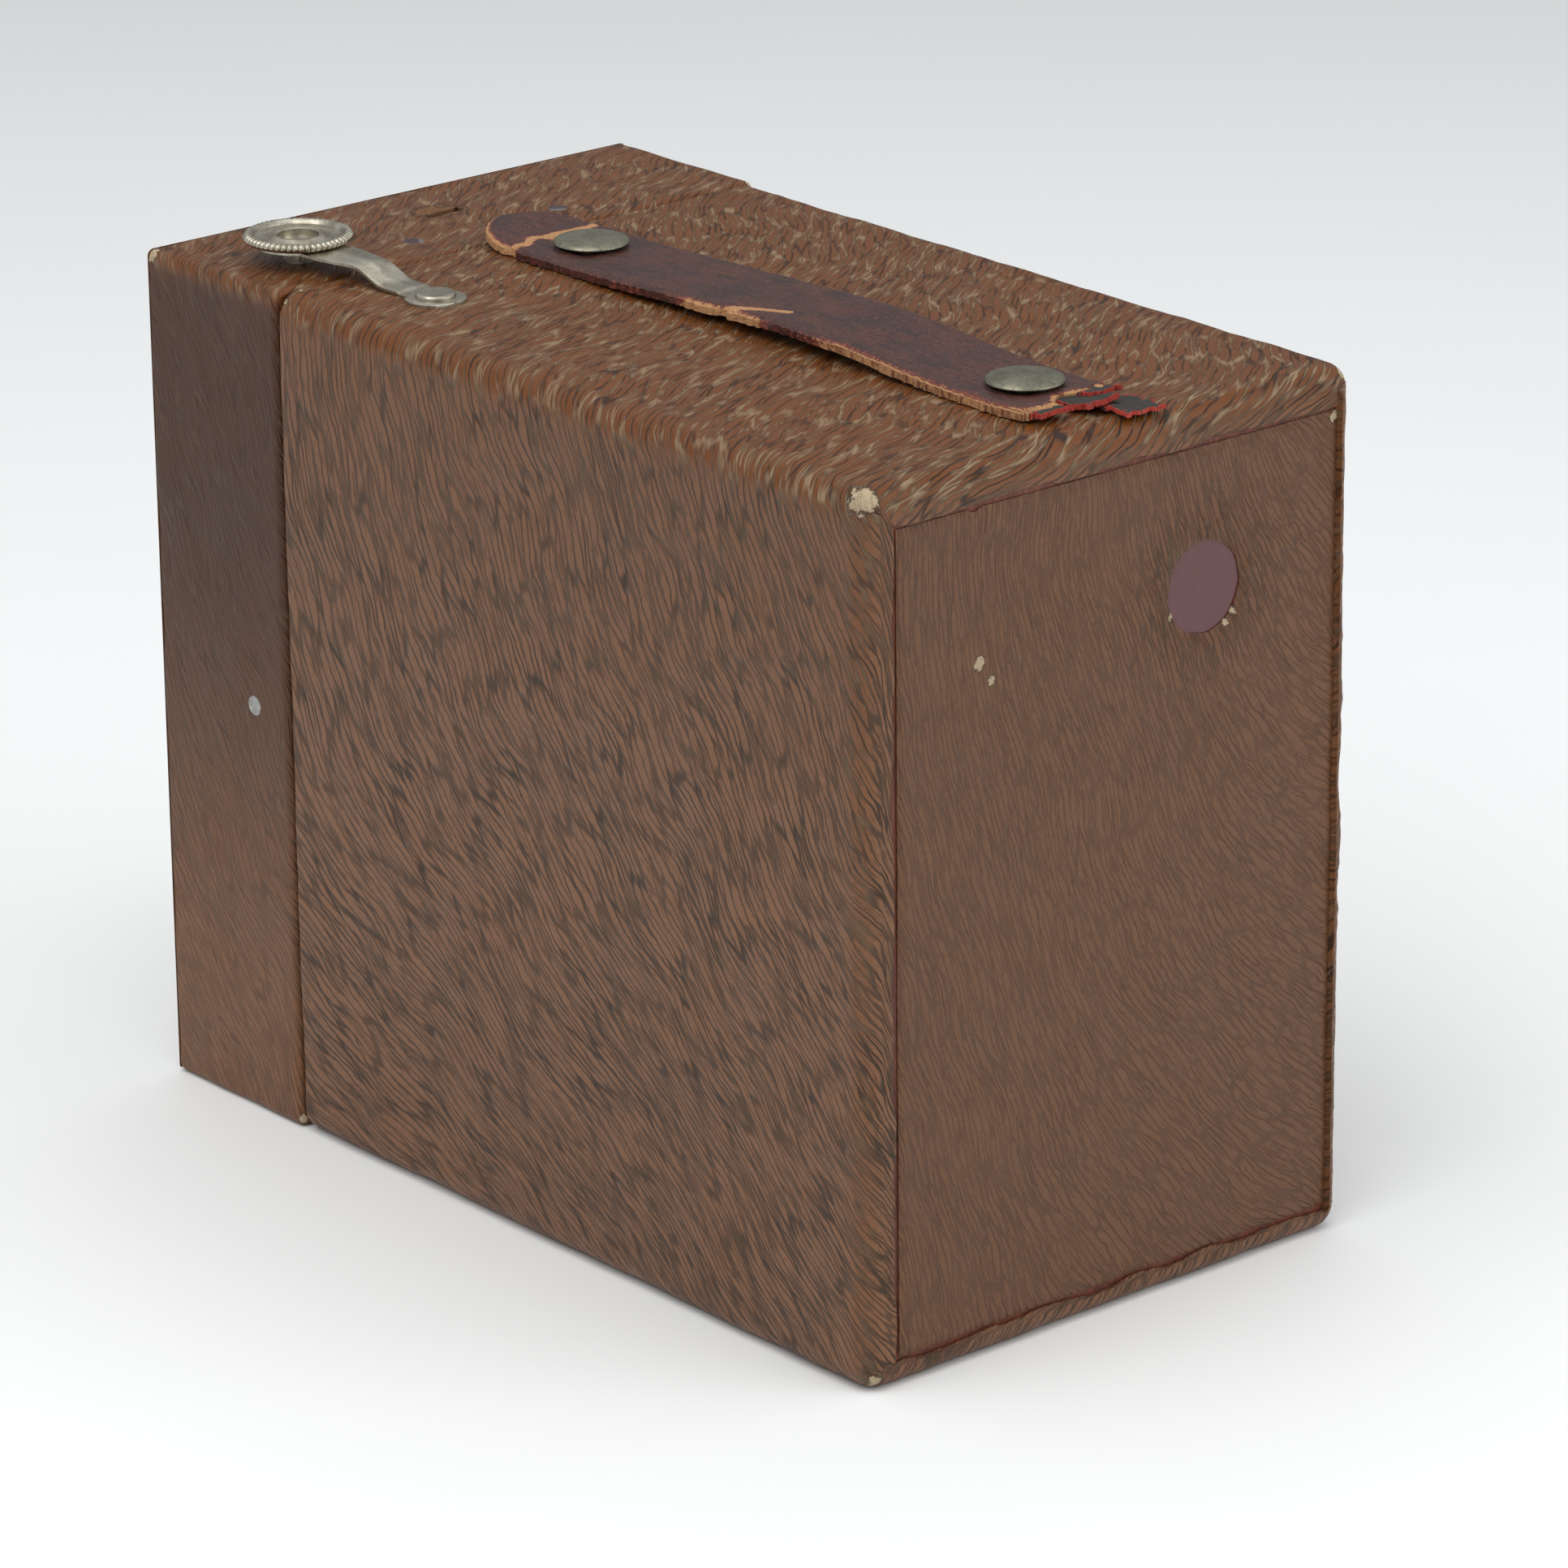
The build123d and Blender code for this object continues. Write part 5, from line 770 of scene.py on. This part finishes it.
def front_skin():
    rear = FRONT_HIGH[1]
    front = FACE_HIGH[1]
    line = [(rear - 0.1, 5.0), (rear, 3.6), (rear, 2.4)]
    line += profile_arc(rear - 1.6, 1.6, 1.6, 0, 90, 5)
    start, end = rear - 1.6, front + FRONT_EDGE
    steps = int(round((start - end) / 1.1))
    line += [(start + (end - start) * k / steps, 0.0) for k in range(1, steps)]
    line += profile_arc(end, FRONT_EDGE, FRONT_EDGE, 90, 180, 5)
    line += [(front, 3.0), (front + 0.1, 4.2)]
    line = line[::-1]
    tube = box_skin(line, 2.2, -SIDE_X, SIDE_X, 0.0, TOP_Z)
    normal = grid_normals(tube)
    girth, depth = flat_coordinates(tube, len(line) // 2)
    places = []
    for z, angle in ((165, 66), (110, 62), (60, 58), (20, 50)):
        places += [(side_s(z), -95, angle), (side_s(z), -72, angle + 6)]
    for x, angle in ((45, 62), (10, 50), (-25, 56), (-52, 60)):
        places += [(top_s(x), -95, angle), (top_s(x), -72, angle - 6)]
    for s in (330, 400, 460, 530):
        places.append((s, -86, 55))
    grain = grain_coordinates(girth, depth, places)
    swell = np.minimum(0.08 * waves(grain[..., 0] * 0.5, grain[..., 1], 14.0, 31), 0.08)
    lap = smooth(tube[..., 0], SIDE_X - 4.2, SIDE_X - 3.4) * smooth(tube[..., 2], TOP_Z - 2, TOP_Z - 0.5)
    points = tube + normal * (swell - 0.1 + 0.14 * lap)[..., None]
    points[..., 2] = np.clip(points[..., 2], 0.0, TOP_Z)
    top = smooth(points[..., 2], TOP_Z - 5, TOP_Z - 1)
    side = smooth(points[..., 2], 40, 150)
    # painted light: orange on the top and up the sides, the grey painted floor reflection low on the sides
    painted_light_mix = np.clip(0.15 + top + 0.75 * side, 0, 1)
    dark_side = smooth(np.abs(points[..., 0]), SIDE_X - 3, SIDE_X - 0.5) * (1 - top)
    shade = 1 - 0.72 * dark_side * smooth(points[..., 2], 15, 130)
    heads = [(x, z) for z in (TOP_Z, 0.0) for x in (SCREW_X, -SCREW_X)]
    heads += [(x, TOP_Z / 2) for x in (SIDE_X, -SIDE_X)]
    mark = near_spots(points, [(x, SCREW_Y, z, SCREW_MARK_R) for x, z in heads])
    brown = near_spots(points, ((*WORN_SPOT, TOP_Z, 12.0),))
    tone = np.stack([shade, 0.6 + 0.45 * top, np.minimum(brown * 2, 1)], 2)
    spots = ((SIDE_X - 1, front + 1.5, TOP_Z - 1, 1.7), (-SIDE_X + 1, front + 1, TOP_Z - 1, 1.2),
             (*WORN_SPOT, TOP_Z, 4.4), (-SIDE_X + 1, rear - 1, TOP_Z - 1, 0.9),
             (SIDE_X - 1, rear - 0.5, 2.0, 0.9))
    tear = near_spots(points, spots)
    finish = np.stack([painted_light_mix, tear, 0.5 * top], 2)
    x, y = points[..., 0].copy(), points[..., 1].copy()
    on_top = (normal[..., 2] > 0.98) & (np.abs(x) < SIDE_X - 3)

    def outside_slot(px, py):
        slot = np.maximum(np.abs(px - 0.5) - 4.6, np.abs(py - STOP_SLOT_Y) - 1.1)
        return slot + 0.25 * waves(px, py, 2.6, 33)

    cut_x, cut_y, keep = trim(x, y, outside_slot)
    cells_on_top = on_top[:-1, :-1] & on_top[1:, 1:] & on_top[1:, :-1] & on_top[:-1, 1:]
    keep = keep | ~cells_on_top
    moved = on_top & (np.abs(points[..., 1] - STOP_SLOT_Y) < 6) & (np.abs(points[..., 0]) < 12)
    points[..., 0] = np.where(moved, cut_x, points[..., 0])
    points[..., 1] = np.where(moved, cut_y, points[..., 1])
    finder_low, finder_high = node_box("finder_screen")
    far_side = points[..., 0] < -SIDE_X + 0.6
    centre = (points[:-1, :-1] + points[1:, 1:]) / 2
    far_cells = far_side[:-1, :-1] & far_side[1:, 1:]
    window = ((centre[..., 1] > finder_low[1] + 0.6) & (centre[..., 1] < finder_high[1] - 0.6)
              & (centre[..., 2] > finder_low[2] + 0.6) & (centre[..., 2] < finder_high[2] - 0.6))
    lever_slot = ((np.abs(centre[..., 1] - LEVER_SLOT_Y) < 1.2)
                  & (centre[..., 2] > LEVER_SLOT_LOW) & (centre[..., 2] < LEVER_SLOT_HIGH))
    keep &= ~(far_cells & (window | lever_slot))
    skin = sheet("front_skin", points, points - normal * SKIN, "front_section", "front_leather",
                 LEATHER, keep=keep, grain=grain, finish=finish, tone=tone, mark=mark)
    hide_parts("front_leather", "front_base_leather")


# ------------------------------------------------------------------ the strap
STRAP_HALF = STRAP_HIGH[0]
STUD_HEAD_R = 7.5
STUD_YS = (STUD_LOW[1] + STUD_HEAD_R, STUD_HIGH[1] - STUD_HEAD_R)


def strap_height(y):
    """Height of the strap's underside: it lies at the studs and bows up between them."""
    span = np.clip((y + 38.0) / 114.0, 0, 1)
    rise = 1.5 * np.sin(math.pi * span) ** 1.3 + 1.0 * np.exp(-((y - 40.0) / 22.0) ** 2)
    curl = 1.5 * smooth(-y, 56.0, 69.0) + 0.5 * smooth(y, 88.0, 99.0)
    return STRAP_LOW[2] + rise + curl


def strap_outline(px, py):
    """Positive inside the strap: a round lobe in front, slots at the studs, a torn back end."""
    ragged = 0.16 * waves(px, py, 2.3, 41) + 0.10 * waves(px, py, 1.1, 42)
    side = STRAP_HALF - 0.35 - np.abs(px) - 0.10 * waves(px * 0.1, py, 24.0, 40)
    lobe_y = STRAP_LOW[1] + 12.0
    lobe = np.where(py < lobe_y, 12.0 - np.hypot(px, py - lobe_y), 12.0)
    waist = 0.9 * np.exp(-((py + 53.5) / 1.3) ** 2)
    body = np.minimum(side - waist, lobe)
    nick = np.hypot((px - STRAP_HALF) * 1.2, (py - 11.0) * 0.8) - 1.5
    for stud_y in STUD_YS:
        slot = np.maximum(np.abs(px) - 2.9, 0)
        slot_y = np.maximum(np.abs(py - stud_y) - 2.0, 0)
        body = np.minimum(body, np.hypot(slot, slot_y) - 2.4)
    hole = np.hypot(px * 0.55, py + 51.6) - 1.5
    notch_depth = 91.5 + 0.35 * np.abs(px + 1.5) ** 1.5
    notch = notch_depth - py
    cut = np.where(np.abs(px + 1.5) < 5.0, notch, 99.0)
    end = 97.2 - 0.18 * np.abs(px - 7) - py + 3.0 * ragged
    body = np.minimum(np.minimum(body, nick), np.minimum(hole, np.minimum(cut, end)))
    return body + ragged * 0.7


def strap():
    x = np.linspace(-STRAP_HALF, STRAP_HALF, 37)
    y = np.arange(STRAP_LOW[1], STRAP_HIGH[1], 0.7)
    x, y = np.meshgrid(x, y, indexing="ij")
    x, y, keep = trim(x, y, strap_outline)
    under = strap_height(y) + 0.35 * (x / STRAP_HALF) * smooth(-y, 52, 60)
    crown = 1 - (x / STRAP_HALF) ** 2
    edge = np.clip(strap_outline(x, y), 0, 3)
    thick = 1.35 + 0.75 * np.sqrt(np.clip(edge / 1.3, 0, 1)) + 0.15 * crown
    near_stud = np.minimum(np.abs(y - STUD_YS[0]), np.abs(y - STUD_YS[1]))
    thick = np.minimum(thick, np.where(near_stud < 9, 2.2, 2.4))
    top = under + thick + 0.05 * waves(x, y, 8.0, 43)
    points = np.stack([x, y, top], 2)
    base = np.stack([x, y, under], 2)
    crack_line = -54.0 + 0.08 * x + 0.7 * waves(x, x * 0, 9.0, 44)
    crack = 1 - np.abs(y - crack_line) / 2.4
    near_edge = 1 - (STRAP_HALF - 0.4 - x) / 1.8
    far_edge = 1 - (STRAP_HALF - 0.4 + x) / 1.3
    lobe_rim = (1 - edge / 1.5) * smooth(-y, 50, 56)
    rubbed_middle = smooth(y, -5, 2) * (1 - smooth(y, 20, 26))
    worn_edge = near_edge * (0.30 + 0.36 * smooth(y, 36, 48) + 0.30 * rubbed_middle)
    along = np.clip((y - 10.0) / 14.0, 0, 1)
    tear_x = STRAP_HALF - 6.5 * along
    tear_v = 1 - np.hypot(x - tear_x, np.maximum(np.abs(y - 17.0) - 7.0, 0)) / (2.6 - 1.0 * along)
    rear_rim = (1 - edge / 2.0) * smooth(y, 90, 93)
    wear = np.maximum.reduce([crack * 0.95, worn_edge, far_edge * 0.36, lobe_rim * 0.8, tear_v, rear_rim])
    weave = smooth(y, 36, 46) * smooth(x, 8.5, 10.5)
    finish = np.stack([np.clip(wear, 0, 1), weave, np.zeros(x.shape)], 2)
    piece = sheet("strap_worn", points, base, "strap", "strap_leather", STRAP, keep=keep, finish=finish)
    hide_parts("strap")
    return piece


def rag(name, x0, x1, y0, y1, z, thickness, seed, lift=0.0, lean=0.0):
    """A torn layer at the strap's end, with ragged edges, its core black and its rims red."""
    x = np.linspace(x0 - 0.5, x1 + 0.5, int((x1 - x0) * 3) + 3)
    y = np.linspace(y0 - 0.5, y1 + 0.5, int((y1 - y0) * 3) + 3)
    x, y = np.meshgrid(x, y, indexing="ij")

    def inside(px, py):
        edge = np.minimum(np.minimum(px - x0, x1 - px), np.minimum(py - y0, y1 - py))
        return edge + 0.45 * waves(px, py, 2.2, seed) + 0.3 * waves(px, py, 0.9, seed + 1)

    x, y, keep = trim(x, y, inside)
    share = (y - y0) / (y1 - y0)
    height = z + lift * share ** 2 + lean * (x - x0) / (x1 - x0)
    height = height + 0.15 * waves(x, y, 4.0, seed + 2)
    points = np.stack([x, y, height + thickness], 2)
    base = np.stack([x, y, height], 2)
    rim = np.clip(1 - inside(x, y) / 0.9, 0, 1)
    return sheet(name, points, base, "strap", "strap_leather", TORN, keep=keep, rim=rim)


def strap_rags():
    base = STRAP_LOW[2]
    rag("strap_core_near", 3.4, 10.8, 92.0, 99.6, base + 0.5, 1.0, 51, lift=0.9)
    rag("strap_core_middle", -7.5, 0.4, 90.0, 101.2, base + 0.4, 1.1, 54, lift=1.6, lean=-0.6)
    rag("strap_core_far", -11.6, -4.5, 90.5, 97.0, base + 1.0, 0.9, 57, lift=0.8)
    rag("strap_flap", -13.0, -4.0, 98.0, 107.0, base + 0.15, 0.8, 60, lift=-0.1, lean=0.3)


# ------------------------------------------------------------------ studs and latch
def studs():
    top = STUD_HIGH[2]
    foot = STUD_LOW[2]
    profile = [(0.0, top - 0.02), (2.5, top - 0.04), (4.8, top - 0.16), (6.2, top - 0.38),
               (7.0, top - 0.66), (7.4, top - 0.95), (STUD_HEAD_R, top - 1.2), (7.35, top - 1.4),
               (6.6, top - 1.42), (2.5, top - 1.42), (2.5, foot), (0.0, foot)]
    profile = [(max(r, 0.05), z) for r, z in profile]
    for number, y in enumerate(STUD_YS):
        def dents(radius, height, turn, seed=70 + number):
            bump = waves(radius * np.cos(turn), radius * np.sin(turn), 5.0, seed)
            head = height > top - 1.0
            return radius, height + np.where(head, np.minimum(0.05 * bump, 0.02), 0)
        piece = lathe(f"stud_{number + 1}", profile, (0.0, y), 72, "case",
                      DULL_NICKEL, dents)
        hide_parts("strap_studs")


FOOT_R = 6.0
RIVET = (FOOT_LOW[:2] + FOOT_HIGH[:2]) / 2
RIVET[1] = FOOT_HIGH[1] - FOOT_R
EYE = (RING_LOW[:2] + RING_HIGH[:2]) / 2


def latch_spring():
    """Foot, neck and eye of the spring latch, pressed from one strip."""
    across = np.linspace(-1, 1, 25)
    y = np.arange(RIVET[1] + FOOT_R, EYE[1] - 8.6, -0.45)
    across, y = np.meshgrid(across, y)
    way = smooth(-y, -RIVET[1], -EYE[1])
    middle = RIVET[0] + (EYE[0] - RIVET[0]) * way
    neck = 3.9 + 1.3 * smooth(-y, 58, 70)
    foot = np.sqrt(np.clip(FOOT_R ** 2 - (y - RIVET[1]) ** 2, 0.05, None))
    foot = np.where(y > RIVET[1] - 4.2, foot, 0.0)
    eye = np.sqrt(np.clip(72.0 - (y - EYE[1]) ** 2, 0.05, None))
    eye = np.where(y < EYE[1] + 6.5, eye, 0.0)
    strip = np.where((y < RIVET[1]) & (y > EYE[1]), neck, 0.0)
    half = np.maximum(np.maximum(foot, eye), strip)
    x = middle + across * half
    lift = 0.3 * smooth(-y, 46.4, 47.2) + 2.9 * smooth(-y, 50.5, 60.0)
    base = FOOT_LOW[2] + lift
    relief = 0.22 * np.exp(-(across / 0.35) ** 2) * smooth(-y, 47, 52) * (1 - smooth(-y, 68, 72))
    top = base + 0.8 + relief - 0.25 * np.abs(across) ** 6
    points = np.stack([x, y, top], 2)
    under = np.stack([x, y, base], 2)
    piece = sheet("latch_spring", points, under, None, "nickel", NICKEL)
    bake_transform(piece)
    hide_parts("latch_foot", "latch_arm")


def latch_ring():
    """The finger ring: a milled bead outside, dished to a raised lip round the hole."""
    low, high = RING_LOW[2], RING_HIGH[2]
    profile = [(4.0, low), (8.9, low), (10.2, low + 0.15), (10.8, low + 0.7), (10.85, low + 1.2),
               (10.4, high - 0.15), (9.7, high), (9.0, high - 0.2), (8.6, low + 1.0),
               (7.0, low + 0.75), (5.8, low + 0.8), (5.2, low + 1.35), (4.6, low + 1.5),
               (4.1, low + 1.25), (4.0, low)]

    def milled(radius, height, turn):
        notch = np.abs(np.sin(turn * 27))
        bead = smooth(radius, 9.2, 10.2)
        return radius - 0.42 * bead * (1 - notch) ** 1.5, height - 0.16 * bead * (1 - notch) ** 1.5

    profile = np.array(profile)
    segments = 324
    turn = np.linspace(0, 2 * math.pi, segments, endpoint=False)
    radius = np.repeat(profile[:-1, :1], segments, axis=1)
    height = np.repeat(profile[:-1, 1:], segments, axis=1)
    radius, height = milled(radius, height, turn)
    x = EYE[0] + radius * np.cos(turn)
    y = EYE[1] + radius * np.sin(turn)
    points = np.stack([x, y, height], 2).reshape(-1, 3)
    index = np.arange(len(points)).reshape(-1, segments)
    below = np.roll(index, -1, axis=0)
    faces = np.stack([index, np.roll(index, -1, axis=1), np.roll(below, -1, axis=1), below], 2)
    piece = make_object("latch_ring_milled", points, faces.reshape(-1, 4), {}, "latch", NICKEL)
    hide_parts("latch_ring")


# ------------------------------------------------------------------ stage, light, camera
def softbox(name, location, target, size, power):
    light = bpy.data.lights.new(name, "AREA")
    light.shape = "RECTANGLE"
    light.size, light.size_y = size
    light.energy = power
    obj = bpy.data.objects.new(name, light)
    bpy.context.scene.collection.objects.link(obj)
    obj.location = location
    aim = Vector(target) - Vector(location)
    obj.rotation_mode = "QUATERNION"
    obj.rotation_quaternion = aim.to_track_quat("-Z", "Y")


def floor():
    """A pale sweep: flat under the object, rising far behind it."""
    view = Vector((-0.646, -0.763, 0.0))
    side = Vector((view.y, -view.x, 0.0))
    rows = []
    for k in range(60):
        distance = -4.0 + k * 0.14
        rise = 0.35 * max(distance - 1.4, 0.0) ** 1.6
        rows.append([view * distance + side * w + Vector((0, 0, rise)) for w in (-5.0, -2.0, 2.0, 5.0)])
    points = [p for row in rows for p in row]
    mesh = bpy.data.meshes.new("floor")
    faces = [(4 * k + j, 4 * k + j + 1, 4 * k + j + 5, 4 * k + j + 4) for k in range(59) for j in range(3)]
    mesh.from_pydata(points, [], faces)
    mesh.shade_smooth()
    obj = bpy.data.objects.new("floor", mesh)
    bpy.context.scene.collection.objects.link(obj)
    g = Graph("floor_paper")
    tooth = g.noise(g.place(), 0.01, 2.0)
    depth = g.add("ShaderNodeVectorMath", output=1, operation="DOT_PRODUCT",
                  sockets={0: g.add("ShaderNodeTexCoord", output=3), 1: tuple(view)})
    white = g.mix(tooth, (0.93, 0.94, 0.935, 1), (0.95, 0.96, 0.955, 1))
    # painted shade: the paper greys with distance along the view, a painted falloff of light on the far
    # sweep
    grey = g.ramp(depth, 0.0, 2.9)
    mesh.materials.append(g.finish(g.mix(grey, white, (0.27, 0.275, 0.275, 1)), 0.7))


def world():
    scene = bpy.context.scene
    scene.world = bpy.data.worlds.new("studio")
    scene.world.use_nodes = True
    background = scene.world.node_tree.nodes["Background"]
    background.inputs["Color"].default_value = (0.96, 0.98, 1.0, 1)
    background.inputs["Strength"].default_value = 0.62


def camera():
    data = bpy.data.cameras.new("camera")
    data.lens = 169.5
    data.sensor_width = 36.0
    data.clip_end = 50.0
    obj = bpy.data.objects.new("camera", data)
    bpy.context.scene.collection.objects.link(obj)
    forward = Vector((-0.6071, -0.7182, -0.3400)).normalized()
    right = Vector((-0.7615, 0.6481, -0.0092))
    right = (right - forward * right.dot(forward)).normalized()
    up = right.cross(forward)
    turn = Matrix((right, up, -forward)).transposed().to_4x4()
    obj.matrix_world = Matrix.Translation((0.8735, 1.0472, 0.5698)) @ turn
    bpy.context.scene.camera = obj


bpy.context.scene.view_settings.view_transform = "Standard"
camera()
world()
floor()
softbox("key", (0.9, 0.2, 1.5), (0.0, 0.0, 0.08), (1.4, 1.4), 12.0)
softbox("fill", (-0.6, 1.3, 0.9), (0.0, 0.0, 0.08), (1.2, 1.0), 6.0)
softbox("overhead", (0.0, 0.0, 1.9), (0.0, 0.0, 0.0), (2.0, 2.0), 8.0)

case_skin()
back_panel()
front_skin()
strap()
strap_rags()
studs()
latch_spring()
latch_ring()
